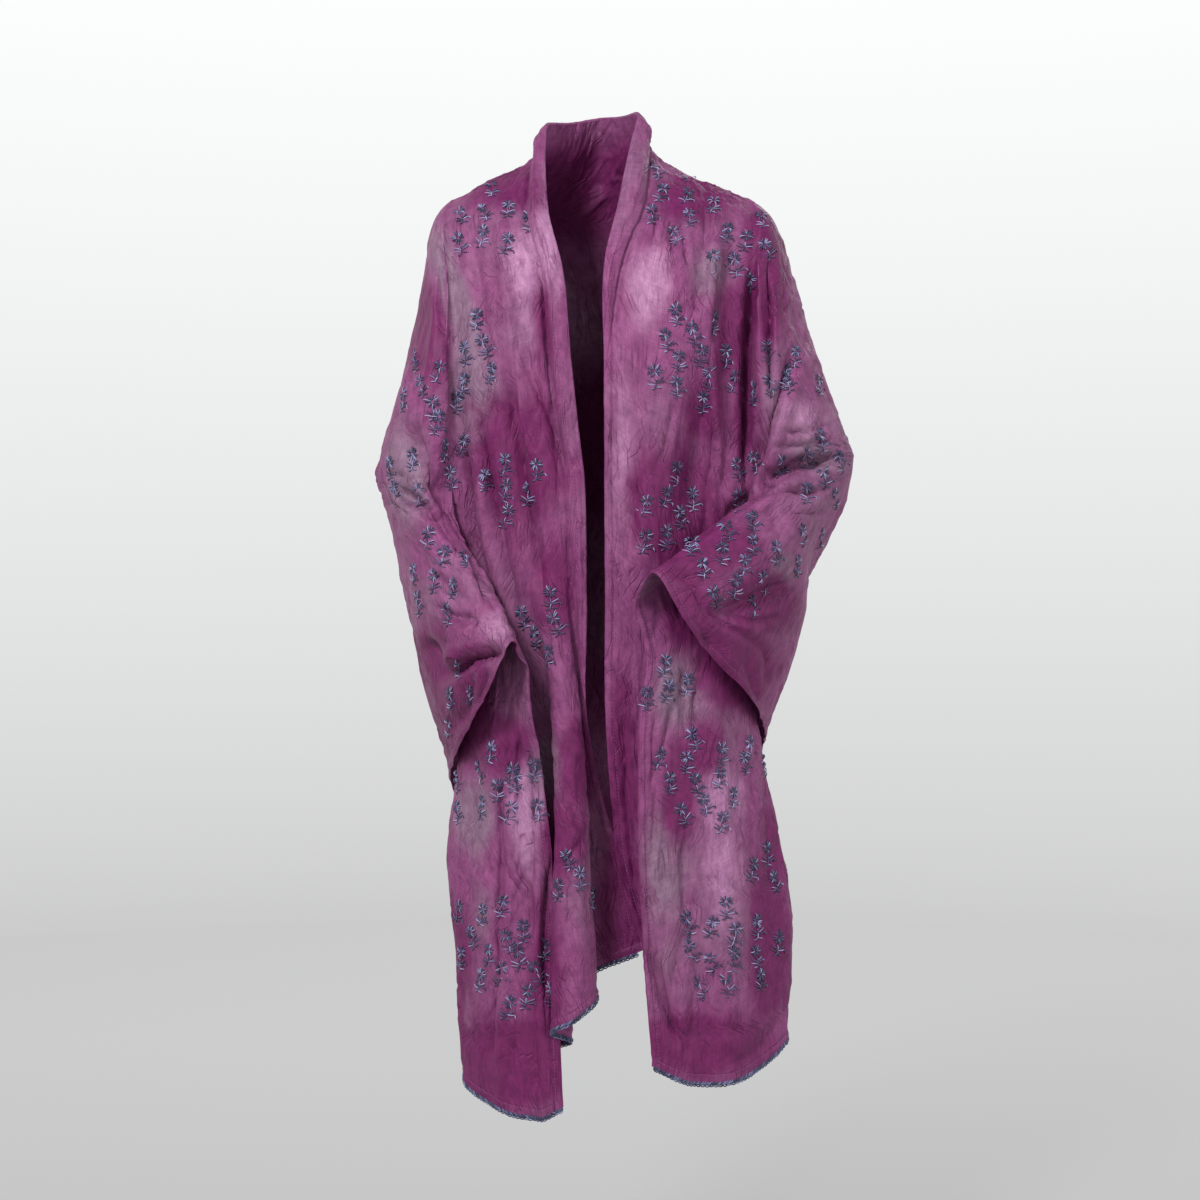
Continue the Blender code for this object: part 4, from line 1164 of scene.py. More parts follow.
def fine_crumple() -> bpy.types.NodeTree:
    """The group for fine crinkles on a map in metres: soft waves and three directions of pressed lines.

    Returns:
        The group.
    """
    outputs = [("Height", "Float"), ("Crease_Shade", "Float")]
    bench, source, result = new_group("fine_crumple", [("Cloth", "Vector")], outputs)
    cloth = source.outputs["Cloth"]
    bend = bench.make("ShaderNodeTexNoise", None, {"Vector": cloth, "Scale": 8.0, "Detail": 1.0})
    inputs = {0: bend.outputs["Color"], 1: (0.016, 0.016, 0.0), 2: cloth}
    bent = bench.make("ShaderNodeVectorMath", {"operation": "MULTIPLY_ADD"}, inputs).outputs[0]
    height = bench.noise(bench.scaled(bent, (46.0, 16.0, 1.0)), 1.0, 2.0, 0.5)
    lines: Any = 0.0
    directions = (
        (0.05, (78.0, 8.0, 1.0), 0.6), (0.5, (66.0, 9.0, 1.0), 0.5), (-0.42, (84.0, 11.0, 1.0), 0.45),
    )
    for angle, scale, tall in directions:
        inputs = {"Vector": bent, "Angle": angle}
        turned = bench.make("ShaderNodeVectorRotate", {"rotation_type": "Z_AXIS"}, inputs)
        wave = bench.noise(bench.scaled(turned.outputs[0], scale), 1.0, 1.0)
        away = bench.math("ABSOLUTE", bench.math("SUBTRACT", wave, 0.5))
        line = bench.math("SUBTRACT", 1.0, bench.ramp(away, 0.0, 0.05))
        patch = bench.ramp(bench.noise(cloth, 17.0 + 9.0 * angle, 2.0), 0.46, 0.68)
        line = bench.math("MULTIPLY", line, patch)
        lines = bench.math("MAXIMUM", lines, line)
        height = bench.math("SUBTRACT", height, bench.math("MULTIPLY", line, tall))
    # The crease lines also go out alone, as the mask for the painted shade in the creases.
    bench.feed(result, {"Height": height, "Crease_Shade": lines})
    return bench.tree


def hem_line() -> bpy.types.NodeTree:
    """The group for a narrow sewn hem: a groove along its stitches, with puckers beside it. Its Shade output
    marks where the colour darkens: painted shade in the groove, and along the folded edge partly dye gathered
    in the fold and partly painted shade.

    Returns:
        The group.
    """
    inputs = [("Distance", "Float"), ("Cloth", "Vector")]
    bench, source, result = new_group("hem_line", inputs, [("Height", "Float"), ("Shade", "Float")])
    away = bench.math("ABSOLUTE", bench.math("SUBTRACT", source.outputs["Distance"], 0.0095))
    groove = bench.math("SUBTRACT", 1.0, bench.ramp(away, 0.0, 0.0022))
    near = bench.math("SUBTRACT", 1.0, bench.ramp(away, 0.002, 0.012))
    puckers = bench.noise(bench.scaled(source.outputs["Cloth"], (110.0, 150.0, 1.0)), 1.0, 1.0)
    band = bench.math("SUBTRACT", 1.0, bench.ramp(source.outputs["Distance"], 0.0085, 0.0105))
    height = bench.math("ADD", bench.math("MULTIPLY", groove, -0.9), bench.math("MULTIPLY", band, 0.5))
    height = bench.math("ADD", height, bench.math("MULTIPLY", bench.math("MULTIPLY", puckers, near), 1.6))
    # The folded edge, darkened partly as dye gathered in the fold and partly as painted shade.
    rim = bench.math("SUBTRACT", 1.0, bench.ramp(source.outputs["Distance"], 0.0003, 0.002))
    bench.feed(result, {"Height": height, "Shade": bench.math("MAXIMUM", groove, rim)})
    return bench.tree


@dataclass(frozen=True)
class SilkFinish:
    """Hand-dyed silk with a soft sheen, and painted shade in its crease lines, along its hems and in some dye
    patches.
    """

    base: tuple = (0.242, 0.059, 0.176, 1.0)
    # The darkest dye, also the colour of the painted shade in the crease lines, along the hems and in some
    # patches.
    deep: tuple = (0.155, 0.016, 0.098, 1.0)
    pale: tuple = (0.44, 0.21, 0.375, 1.0)
    grey: tuple = (0.235, 0.132, 0.208, 1.0)
    blotch: float = 0.75
    roughness: float = 0.54
    specular: float = 0.22
    sheen: float = 0.04
    sheen_tint: tuple = (1.0, 0.85, 0.95, 1.0)
    weave_height: float = 0.16  # mm
    crumple_height: float = 2.0  # mm
    hem_height: float = 0.5  # mm

    def material(self) -> bpy.types.Material:
        """Build the material, which reads the maps of each sheet.

        Returns:
            The material.
        """
        material = bpy.data.materials.new("hand_dyed_silk")
        material.use_nodes = True
        bench = NodeBench(material.node_tree)
        shader = material.node_tree.nodes["Principled BSDF"]
        cloth = bench.add("ShaderNodeUVMap", {"uv_map": "cloth"}).outputs[0]
        position = bench.add("ShaderNodeTexCoord").outputs["Object"]
        tones = bench.add("ShaderNodeAttribute", {"attribute_name": "dye"}).outputs["Color"]
        distance = bench.add("ShaderNodeAttribute", {"attribute_name": "hem"}).outputs["Fac"]
        weave = bench.make("ShaderNodeGroup", {"node_tree": slub_weave()}, {"Cloth": cloth})
        crumple = bench.make("ShaderNodeGroup", {"node_tree": fine_crumple()}, {"Cloth": cloth})
        dye = bench.make("ShaderNodeGroup", {"node_tree": dye_bath()}, {
            "Tones": tones, "Position": position, "Cloth": cloth, "Blotch": self.blotch,
            "Crease_Shade": crumple.outputs["Crease_Shade"], "Base Dye": self.base, "Deep Dye": self.deep,
            "Pale Dye": self.pale, "Grey Dye": self.grey,
        })
        hem = bench.make("ShaderNodeGroup", {"node_tree": hem_line()}, {"Distance": distance, "Cloth": cloth})
        slub = bench.ramp(weave.outputs["Slub"], 0.6, 1.4)
        tint = bench.blend(slub, (0.76, 0.73, 0.76, 1.0), (1.20, 1.20, 1.20, 1.0))
        colour = bench.blend(1.0, dye.outputs[0], tint, "MULTIPLY")
        # Painted shade along the hems, towards the darkest dye: in the stitch groove, and at the folded edge
        # together with dye gathered there.
        colour = bench.blend(bench.math("MULTIPLY", hem.outputs["Shade"], 0.5), colour, self.deep)
        height = bench.math("MULTIPLY", weave.outputs["Height"], self.weave_height)
        height = bench.math("ADD", height, bench.math("MULTIPLY", crumple.outputs[0], self.crumple_height))
        height = bench.math("ADD", height, bench.math("MULTIPLY", hem.outputs["Height"], self.hem_height))
        bump = bench.make("ShaderNodeBump", None, {"Strength": 1.0, "Distance": MM, "Height": height})
        rough = bench.math("ADD", bench.math("MULTIPLY", slub, 0.12), self.roughness - 0.06)
        bench.feed(shader, {
            "Base Color": colour, "Roughness": rough, "Normal": bump.outputs[0],
            "Specular IOR Level": self.specular, "Sheen Weight": self.sheen, "Sheen Roughness": 0.4,
            "Sheen Tint": self.sheen_tint,
        })
        return material


@dataclass(frozen=True)
class ThreadFinish:
    """Shiny variegated thread, from dark slate to pale lilac-blue along its tone, which is set at random for
    each stitch or strand; the pale end partly stands for the thread's glints, as painted highlights.
    """

    name: str = "embroidery_thread"
    dark: tuple = (0.022, 0.022, 0.07, 1.0)
    middle: tuple = (0.06, 0.063, 0.17, 1.0)
    # Pale lilac-blue: partly the thread's own colour, partly painted glints.
    light: tuple = (0.33, 0.33, 0.56, 1.0)
    roughness: float = 0.36
    twist: float = 0.25  # mm

    def material(self) -> bpy.types.Material:
        """Build the material, which reads each strand's tone.

        Returns:
            The material.
        """
        material = bpy.data.materials.new(self.name)
        material.use_nodes = True
        bench = NodeBench(material.node_tree)
        shader = material.node_tree.nodes["Principled BSDF"]
        tone = bench.add("ShaderNodeAttribute", {"attribute_name": "tone"}).outputs["Fac"]
        position = bench.add("ShaderNodeTexCoord").outputs["Object"]
        fibres = bench.noise(position, 900.0, 2.0)
        tone = bench.math("ADD", tone, bench.math("MULTIPLY", bench.math("SUBTRACT", fibres, 0.5), 0.5))
        colour = bench.blend(bench.ramp(tone, 0.05, 0.55), self.dark, self.middle)
        colour = bench.blend(bench.ramp(tone, 0.5, 1.0), colour, self.light)
        height = bench.math("MULTIPLY", fibres, self.twist)
        bump = bench.make("ShaderNodeBump", None, {"Strength": 1.0, "Distance": MM, "Height": height})
        bench.feed(shader, {
            "Base Color": colour, "Roughness": self.roughness, "Normal": bump.outputs[0], "Sheen Weight": 0.2,
        })
        return material


class ThreadTree:
    """Geometry Nodes that give the edges of a mesh their thread."""

    def __init__(self, name: str, sizes: dict[str, str]) -> None:
        """Start the tree with its named inputs and turn the edges into curves.

        Args:
            name: the tree's name.
            sizes: each input's name and kind, besides the thread's material.
        """
        self.tree = bpy.data.node_groups.new(name, "GeometryNodeTree")
        face = self.tree.interface
        face.new_socket("Geometry", in_out="INPUT", socket_type="NodeSocketGeometry")
        self.identifiers = {}
        for label, kind in {**sizes, "Thread": "Material"}.items():
            made = face.new_socket(label, in_out="INPUT", socket_type=f"NodeSocket{kind}")
            self.identifiers[label] = made.identifier
        face.new_socket("Geometry", in_out="OUTPUT", socket_type="NodeSocketGeometry")
        self.bench = NodeBench(self.tree)
        self.source = self.bench.add("NodeGroupInput")
        curves = self.bench.make("GeometryNodeMeshToCurve", None, {0: self.source.outputs[0]})
        self.curves = curves.outputs[0]

    def sweep(self, curves: Any, sides: int, radius: Any, scale: Any) -> None:
        """Sweep a ring along the curves and end the tree.

        Args:
            curves: the curves' socket.
            sides: how many sides the thread has.
            radius: the ring's radius.
            scale: how much the ring grows along the curve.
        """
        bench, result = self.bench, self.bench.add("NodeGroupOutput")
        inputs = {"Resolution": sides, "Radius": radius}
        ring = bench.make("GeometryNodeCurvePrimitiveCircle", None, inputs)
        inputs = {0: curves, 1: ring.outputs[0], "Fill Caps": True, "Scale": scale}
        tube = bench.make("GeometryNodeCurveToMesh", None, inputs)
        smooth = bench.make("GeometryNodeSetShadeSmooth", None, {0: tube.outputs[0]})
        real = bench.make("GeometryNodeRealizeInstances", None, {0: smooth.outputs[0]})
        inputs = {0: real.outputs[0], "Material": self.source.outputs["Thread"]}
        dyed = bench.make("GeometryNodeSetMaterial", None, inputs)
        bench.feed(result, {0: dyed.outputs[0]})

    def spin(self, name: str, mesh: bpy.types.Mesh, values: dict[str, Any]) -> bpy.types.Object:
        """Run the tree on a mesh of edges.

        Args:
            name: the piece's name.
            mesh: the edges.
            values: the inputs' values by name.

        Returns:
            The piece, as a plain mesh.
        """
        piece = new_object(name, mesh)
        maker = piece.modifiers.new("thread", "NODES")
        maker.node_group = self.tree
        for label, value in values.items():
            maker[self.identifiers[label]] = value
        return bake(piece)


class StitchTree(ThreadTree):
    """Turns each edge into one arched stitch of thread."""

    def __init__(self, sides: int = 5) -> None:
        """Build the tree.

        Args:
            sides: how many sides the thread has.
        """
        super().__init__("straight_stitches", {"Thickness": "Float", "Arch": "Float", "Bends": "Int"})
        bench, source = self.bench, self.source
        inputs = {0: self.curves, "Count": source.outputs["Bends"]}
        strands = bench.make("GeometryNodeResampleCurve", None, inputs)
        place = bench.add("GeometryNodeSplineParameter").outputs["Factor"]
        hump = bench.math("SINE", bench.math("MULTIPLY", place, math.pi))
        settings = {"data_type": "FLOAT_VECTOR"}
        rise = bench.make("GeometryNodeInputNamedAttribute", settings, {"Name": "rise"})
        inputs = {0: rise.outputs[0], "Scale": bench.math("MULTIPLY", hump, source.outputs["Arch"])}
        lift = bench.make("ShaderNodeVectorMath", {"operation": "SCALE"}, inputs)
        inputs = {0: strands.outputs[0], "Offset": lift.outputs[0]}
        moved = bench.make("GeometryNodeSetPosition", None, inputs)
        taper = bench.math("ADD", bench.math("MULTIPLY", hump, 0.45), 0.55)
        radius = bench.math("MULTIPLY", bench.math("MULTIPLY", source.outputs["Thickness"], 0.5), taper)
        sized = bench.make("GeometryNodeSetCurveRadius", None, {0: moved.outputs[0], "Radius": radius})
        self.sweep(sized.outputs[0], sides, 1.0, bench.add("GeometryNodeInputRadius").outputs[0])

    def sew(
        self,
        name: str,
        stitches: Sequence[Stitch],
        thread: bpy.types.Material,
        thickness: float,
        arch: float,
        bends: int,
    ) -> bpy.types.Object:
        """Make one piece of all the stitches.

        Args:
            name: the piece's name.
            stitches: the stitches.
            thread: its material.
            thickness: the thread's thickness, in mm.
            arch: how far the middle of a stitch stands up, in mm.
            bends: how many points a stitch has.

        Returns:
            The piece.
        """
        points = np.array([place for stitch in stitches for place in (stitch.start, stitch.end)]) * MM
        mesh = bpy.data.meshes.new(name)
        mesh.from_pydata(points.tolist(), [(2 * i, 2 * i + 1) for i in range(len(stitches))], [])
        rise = mesh.attributes.new("rise", "FLOAT_VECTOR", "POINT")
        rise.data.foreach_set("vector", np.repeat([stitch.out for stitch in stitches], 2, axis=0).ravel())
        tone = mesh.attributes.new("tone", "FLOAT", "POINT")
        tone.data.foreach_set("value", np.repeat([stitch.tone for stitch in stitches], 2))
        values = {"Thickness": thickness * MM, "Arch": arch * MM, "Bends": bends, "Thread": thread}
        return self.spin(name, mesh, values)


@dataclass
class SideForm:
    """The lines that one side of the shawl follows, and the four grids that they span."""

    ridge: tuple
    arm_lines: tuple
    chest_lines: tuple
    fall_lines: tuple
    drape_lines: tuple
    arm_folds: tuple
    chest_folds: tuple
    mirror: bool

    def arm(self) -> np.ndarray:
        """The cloth over the arm, whose first column is shared with the chest and the drape.

        Returns:
            The grid.
        """
        tip = self.ridge[-1]
        rails = []
        for column in columns(self.arm_lines):
            points = [tip, *column]
            upper = smooth_run(points[: ELBOW + 1], UPPER_ROWS)
            rails.append(np.concatenate([upper[:-1], smooth_run(points[ELBOW:], LOWER_ROWS)]))
        return loft(rails, ARM_ACROSS)

    def chest(self, arm: np.ndarray) -> np.ndarray:
        """The cloth from the shoulder ridge down to the elbow, and from the front edge out to the arm.

        Args:
            arm: the grid of the arm wrap.

        Returns:
            The grid.
        """
        rails = []
        for place, column in zip(self.ridge, columns(self.chest_lines)):
            rails.append(smooth_run([place, *column], UPPER_ROWS))
        rails.append(arm[: ELBOW * UPPER_ROWS + 1, 0])
        return loft(rails, RIDGE_STEPS)

    def fall(self, chest: np.ndarray) -> np.ndarray:
        """The inner layer of the front, from the elbow's level to the crochet end.

        Args:
            chest: the grid of the chest.

        Returns:
            The grid.
        """
        lines = self.fall_lines
        across = RIDGE_STEPS
        if isinstance(lines[0], FluteLine):
            across = FLUTED_ACROSS
            lines = [self.flute_points(line) for line in lines]
        rails = []
        for index, column in enumerate(columns(lines)):
            start, lead = chest[-1, index * across], chest[-2, index * across]
            rails.append(smooth_run([start, *column], FALL_ROWS, start + (lead - start) * UPPER_ROWS / 4))
        return ease_first_row(loft(rails, across), chest[-1], FALL_ROWS)

    @staticmethod
    def flute_points(line: FluteLine) -> list[tuple[float, float, float]]:
        """One level of the fluted fall, its height falling from the front edge to the side.

        Args:
            line: the level.

        Returns:
            Its points.
        """
        last = len(line.places) - 1
        drop = line.z_side - line.z_edge
        heights = [line.z_edge + drop * (index / last) ** FLUTE_RISE for index in range(last + 1)]
        return [(x, y, z) for (x, y), z in zip(line.places, heights)]

    def drape(self, arm: np.ndarray, side: np.ndarray) -> np.ndarray:
        """The outer layer of the front, from the inside of the forearm to the crochet end.

        Args:
            arm: the grid of the arm wrap.
            side: the last column of the fall, where the cloth bends back.

        Returns:
            The grid.
        """
        forearm = arm[ELBOW * UPPER_ROWS :, 0][::-1]
        rails = []
        for start, column in zip(forearm[::LOWER_ROWS], columns(self.drape_lines)):
            rails.append(smooth_run([start, *column], FALL_ROWS))
        return ease_first_row(loft([*rails, side], LOWER_ROWS), forearm, FALL_ROWS)

    def grids(self) -> dict[str, np.ndarray]:
        """The arm, front and drape grids, with their largest folds, on the side they belong to.

        Returns:
            The grids by name.
        """
        arm = self.arm()
        chest = self.chest(arm)
        fall = self.fall(chest)
        drape = self.drape(arm, fall[:, -1])
        arm = add_folds(arm, self.arm_folds, 1, (True, True, False, False))
        chest = add_folds(chest, self.chest_folds, 1, (True, True, True, True))
        drape = add_folds(drape, DRAPE_FOLDS, 1, (False, True, True, False))
        made = {"arm": arm, "front": np.concatenate([chest, fall[1:]]), "drape": drape}
        if self.mirror:
            made = {name: grid * np.array((-1.0, 1.0, 1.0)) for name, grid in made.items()}
        return made


def add_folds(grid: np.ndarray, folds: Sequence[Fold], side: int, held: Sequence[bool]) -> np.ndarray:
    """Raise the largest folds along a grid's normals, to nothing at the edges it shares.

    Args:
        grid: the points, (rows, columns, 3).
        folds: the ridges and troughs.
        side: 1 or -1, for the way that the normals point.
        held: whether the first column, last column, first row and last row are held.

    Returns:
        The raised grid.
    """
    v, u = np.meshgrid(np.linspace(0, 1, grid.shape[0]), np.linspace(0, 1, grid.shape[1]), indexing="ij")
    height = np.zeros_like(u)
    for fold in folds:
        share = (v - fold.start) / (fold.end - fold.start)
        rise = smooth_step(share * 3.0)
        if fold.end < 1.0:
            rise = rise * smooth_step((1.0 - share) * 3.0)
        away = (u - fold.across - fold.drift * share) / fold.width
        inside = (v >= fold.start) & (v <= fold.end)
        height += np.where(inside, fold.height * rise * np.exp(-away * away), 0.0)
    for is_held, distance in zip(held, (u, 1.0 - u, v, 1.0 - v)):
        if is_held:
            height = height * smooth_step(distance * 8.0)
    return grid + normals(grid) * (height * side)[..., None]


def back_grid(ridges: Sequence[np.ndarray], arms: Sequence[np.ndarray]) -> np.ndarray:
    """The cloth from the neck to the lower hem, between the two arms.

    Args:
        ridges: the right and the left ridge of the shoulder.
        arms: the right and the left arm grid.

    Returns:
        The grid, from right to left.
    """
    rails = []
    for ridge, arm in zip(ridges, arms):
        rails.append(np.concatenate([smooth_run(ridge, RIDGE_STEPS)[:-1], arm[:, -1]]))
    counts = [RIDGE_STEPS] * 3 + [UPPER_ROWS] * ELBOW + [LOWER_ROWS] * (len(BACK) - 4 - ELBOW)
    middle = smooth_run([(0, line.y, line.z) for line in BACK], counts)
    swell = smooth_run([(line.swell, 0, 0) for line in BACK], counts)[:, 0]
    quarters = []
    for rail in rails:
        quarter = (rail + middle) * 0.5
        quarter[:, 1] += swell
        quarters.append(quarter)
    grid = loft([rails[0], quarters[0], middle, quarters[1], rails[1]], BACK_ACROSS)
    return add_folds(grid, BACK_FOLDS, -1, (True, True, True, False))


class Weld:
    """The sheets as one cloth: a point that two sheets share moves once for both."""

    def __init__(self, sheets: Sequence[Sheet]) -> None:
        """Find the shared points.

        Args:
            sheets: the sheets, whose shared edges have the same points.
        """
        self.sheets = {sheet.name: sheet for sheet in sheets}
        points = np.concatenate([sheet.grid.reshape(-1, 3) for sheet in sheets])
        keys = np.round(points / 0.02).astype(np.int64)
        _, first, same = np.unique(keys, axis=0, return_index=True, return_inverse=True)
        self.places = points[first]
        ends = np.cumsum([sheet.grid[..., 0].size for sheet in sheets])[:-1]
        parts = np.split(same.ravel(), ends)
        self.index = {sheet.name: part.reshape(sheet.grid.shape[:2]) for part, sheet in zip(parts, sheets)}
        self.owners = np.zeros((len(sheets), len(self.places)), dtype=bool)
        for number, index in enumerate(self.index.values()):
            self.owners[number, index.ravel()] = True

    def move(self, places: np.ndarray) -> None:
        """Put every point in its new place.

        Args:
            places: the new places, (count, 3).
        """
        self.places = places
        for name, sheet in self.sheets.items():
            sheet.grid = places[self.index[name]]

    def outward(self) -> np.ndarray:
        """The outward direction at each point, evened out over the sheets that share it.

        Returns:
            The unit normals, (count, 3).
        """
        total = np.zeros_like(self.places)
        for name, sheet in self.sheets.items():
            np.add.at(total, self.index[name], sheet.outward())
        return unit(total)

    def raise_by(self, heights: dict[str, np.ndarray]) -> None:
        """Move the points of some sheets outwards, shared points by their mean height.

        Args:
            heights: the height at each point of each of these sheets, by the sheet's name.
        """
        total, count = np.zeros(len(self.places)), np.zeros(len(self.places))
        for name, height in heights.items():
            np.add.at(total, self.index[name], height)
            np.add.at(count, self.index[name], 1.0)
        self.move(self.places + self.outward() * (total / np.maximum(count, 1.0))[:, None])

    def freedom(self, name: str, group: Sequence[str], reach: float) -> np.ndarray:
        """How freely a sheet may move without pulling at a sheet outside its group.

        Args:
            name: the sheet's name.
            group: the names of the sheets that move together.
            reach: the distance from such a seam where the sheet is free, in mm.

        Returns:
            0 on the seam, rising to 1, at each point.
        """
        others = np.array([other not in group for other in self.sheets])
        tied = np.any(self.owners[others], axis=0)[self.index[name]]
        share = np.ones(tied.shape)
        edges = ("first column", "last column", "first row", "last row")
        for edge, line in zip(edges, (tied[:, :1], tied[:, -1:], tied[:1], tied[-1:])):
            distance = self.sheets[name].edge_distance(edge)
            share *= np.where(line, smooth_step(distance / reach), 1.0)
        return share

    def crease(self, group: Sequence[str], view: View, creases: Sequence[Crease]) -> None:
        """Press the creases into a group of sheets where they face the creases' view.

        Args:
            group: the sheets' names.
            view: the view that the creases are drawn in.
            creases: the creases.
        """
        outward = self.outward()
        heights = {}
        for name in group:
            grid = self.sheets[name].grid
            shows = smooth_step((facing(grid, outward[self.index[name]], view) + 0.15) * 4.0)
            places = seen(grid, view).reshape(-1, 2)
            height = sum(crease_relief(places, crease) for crease in creases).reshape(shows.shape)
            heights[name] = height * shows * self.freedom(name, group, 12.0)
        self.raise_by(heights)

    def wrinkle(self, swell: float, fine: float) -> None:
        """Raise uneven wrinkles, longer down the cloth than across it.

        Args:
            swell: the height of the broad waves, in mm.
            fine: the height of the narrow creases, in mm.
        """
        x, y, z = self.places.T
        broad = noise_at(self.places / (42.0, 42.0, 130.0))
        bend = 9.0 * noise_at(self.places / 70.0)
        narrow = noise_at(np.stack([(x + bend) / 17.0, (y + bend) / 17.0, z / 85.0 + 9.0], axis=-1))
        second = noise_at(np.stack([(x - 0.45 * z + bend) / 15.0, y / 15.0, (z + 0.45 * x) / 100.0], axis=-1))
        ridges = (1.0 - np.abs(narrow) * 3.6).clip(0.0, 1.0) ** 1.5
        ridges = ridges - (1.0 - np.abs(second) * 3.8).clip(0.0, 1.0) ** 1.5
        patchy = smooth_step(noise_at(self.places / 78.0 + 4.0) + 0.62)
        self.move(self.places + self.outward() * (broad * swell + ridges * patchy * fine)[:, None])

    def soften(self, rings: int, rounds: int) -> None:
        """Round the cloth where sheets meet, and each free edge along its own line there.

        Args:
            rings: how many points deep the smoothing reaches.
            rounds: how often it is repeated.
        """
        links = [
            np.stack([start.ravel(), end.ravel()], axis=1)
            for index in self.index.values()
            for start, end in ((index[:-1], index[1:]), (index[:, :-1], index[:, 1:]))
        ]
        links = np.concatenate([*links, *(pair[:, ::-1] for pair in links)])
        free, rims = np.zeros(len(self.places), dtype=bool), []
        for name, sheet in self.sheets.items():
            index = self.index[name]
            for held, line in zip(sheet.held, (index[:, 0], index[:, -1], index[0], index[-1])):
                if not held:
                    free[line] = True
                    rims += [np.stack([line[:-1], line[1:]], axis=1), np.stack([line[1:], line[:-1]], axis=1)]
        depth = np.where(self.owners.sum(axis=0) > 1, 0.0, 1e9)
        for _ in range(rings):
            np.minimum.at(depth, links[:, 0], depth[links[:, 1]] + 1.0)
        weight = 0.5 * (1.0 - smooth_step(depth / rings))
        links = np.concatenate([links[~free[links[:, 0]]], *rims])
        count = np.bincount(links[:, 0], minlength=len(weight)).astype(float)
        places = self.places
        for _ in range(rounds):
            near = [np.bincount(links[:, 0], places[links[:, 1], axis], len(places)) for axis in range(3)]
            places = places + (np.stack(near, axis=-1) / count[:, None] - places) * weight[:, None]
        self.move(places)


@dataclass
class TurnedEdge:
    """The upper edge of the cloth, turned out round the neck and down both fronts, as one band."""

    roll: float = 2.2  # mm, the radius of the fold
    puff: float = 4.2  # mm that the band stands off in its middle
    sink: float = 3.2  # mm that the cloth dips beside it
    steps: int = 15
    roll_steps: int = 5
    even_rows: int = 11
    end_rows: int = 18
    flat: tuple[float, float] = (0.029, 1.34)  # metres, as it was cut

    def sheet(self, left: Sheet, right: Sheet, back: Sheet) -> Sheet:
        """Lay the band over the fronts and the back.

        Args:
            left: the left front.
            right: the right front.
            back: the back.

        Returns:
            The band.
        """
        lines, outward, widths = [], [], []
        right_steps = [UPPER_ROWS] * (len(TURN_WIDTH_RIGHT) - 1) + [FALL_ROWS] * len(TURN_RUN_OUT)
        sides = (
            (left, TURN_WIDTH_LEFT, [UPPER_ROWS] * (len(TURN_WIDTH_LEFT) - 1), -1),
            (back, None, None, 1),
            (right, TURN_WIDTH_RIGHT + TURN_RUN_OUT, right_steps, 1),
        )
        for sheet, table, steps, order in sides:
            grid, out = sheet.grid, sheet.outward()
            if table is None:
                grid, out = (part[: 3 * RIDGE_STEPS, -2:0:-1].swapaxes(0, 1) for part in (grid, out))
                width = np.full(len(grid), float(TURN_WIDTH_LEFT[0]))
            else:
                width = smooth_run([(value, 0, 0) for value in table], steps)[:, 0]
                grid, out = grid[: len(width)], out[: len(width)]
                self.press(sheet, width, out)
            lines += list(grid[::order])
            outward += list(out[::order])
            widths += list(width[::order])
        count = np.arange(len(lines))
        fade = smooth_step((np.minimum(count, count[::-1]) + 1) / self.end_rows)
        uneven = noise_at(np.stack([count / 17.0, count * 0.0, count * 0.0 + 2.0], axis=-1))
        evened = self.even(outward)
        puffs = self.puff * (1.0 + 0.8 * uneven)
        rows = [self.row(*parts) for parts in zip(lines, evened, widths, fade, puffs)]
        return Sheet(
            "turned_edge", np.stack(rows), -1, ("lapel_left", "neck_turn", "lapel_right"), self.flat,
            ("chest_left", "upper_back", "chest_right"), ("last column",), (False,) * 4,
        )

    def press(self, sheet: Sheet, width: np.ndarray, out: np.ndarray) -> None:
        """Sink the cloth beside the band's outer edge.

        Args:
            sheet: the front.
            width: the band's width at each row.
            out: the front's outward direction.
        """
        beside = sheet.edge_distance("first column")[: len(width)] - width[:, None] - 2.5
        depth = self.sink * np.exp(-((beside / 4.5) ** 2)) * smooth_step(width / 16.0)[:, None]
        sheet.grid[: len(width)] -= out * depth[..., None]

    def even(self, outward: Sequence[np.ndarray]) -> np.ndarray:
        """The mean direction near each line's start, evened out along the band.

        Args:
            outward: the cloth's outward directions along each line.

        Returns:
            One direction for each line.
        """
        means = np.stack([unit(np.mean(out[1:12], axis=0)) for out in outward])
        kernel = np.hanning(self.even_rows + 2)[1:-1]
        kernel /= kernel.sum()
        padded = np.pad(means, ((self.even_rows // 2, self.even_rows // 2), (0, 0)), mode="edge")
        return unit(np.stack([np.convolve(padded[:, axis], kernel, "valid") for axis in range(3)], axis=-1))

    def row(self, line: np.ndarray, out: np.ndarray, width: float, fade: float, puff: float) -> np.ndarray:
        """One line of the band: round the fold, then out over the cloth.

        Args:
            line: the cloth's points under it, from the fold on.
            out: the outward direction.
            width: how far the band reaches.
            fade: 0 where the band sinks into the cloth, at its two ends, and 1 elsewhere.
            puff: how far its middle stands off.

        Returns:
            The points.
        """
        run = np.concatenate([[0.0], np.cumsum(np.linalg.norm(np.diff(line, axis=0), axis=1))])
        across = unit(line[3] - line[0])
        roll = self.roll * fade
        angles = np.linspace(0.0, math.pi, self.roll_steps + 1)[:-1, None]
        fold = line[0] - across * roll * np.sin(angles) + out * roll * (1.0 - np.cos(angles))
        shares = np.linspace(0.0, 1.0, self.steps + 1)
        over = np.stack([np.interp(shares * width, run, line[:, axis]) for axis in range(3)], axis=-1)
        crown = puff * fade * min(width / 25.0, 1.0)
        lift = 2.0 * roll - 0.8 * shares * fade + crown * np.sin(math.pi * shares) ** 2
        return np.concatenate([fold, over + out * lift[:, None]])


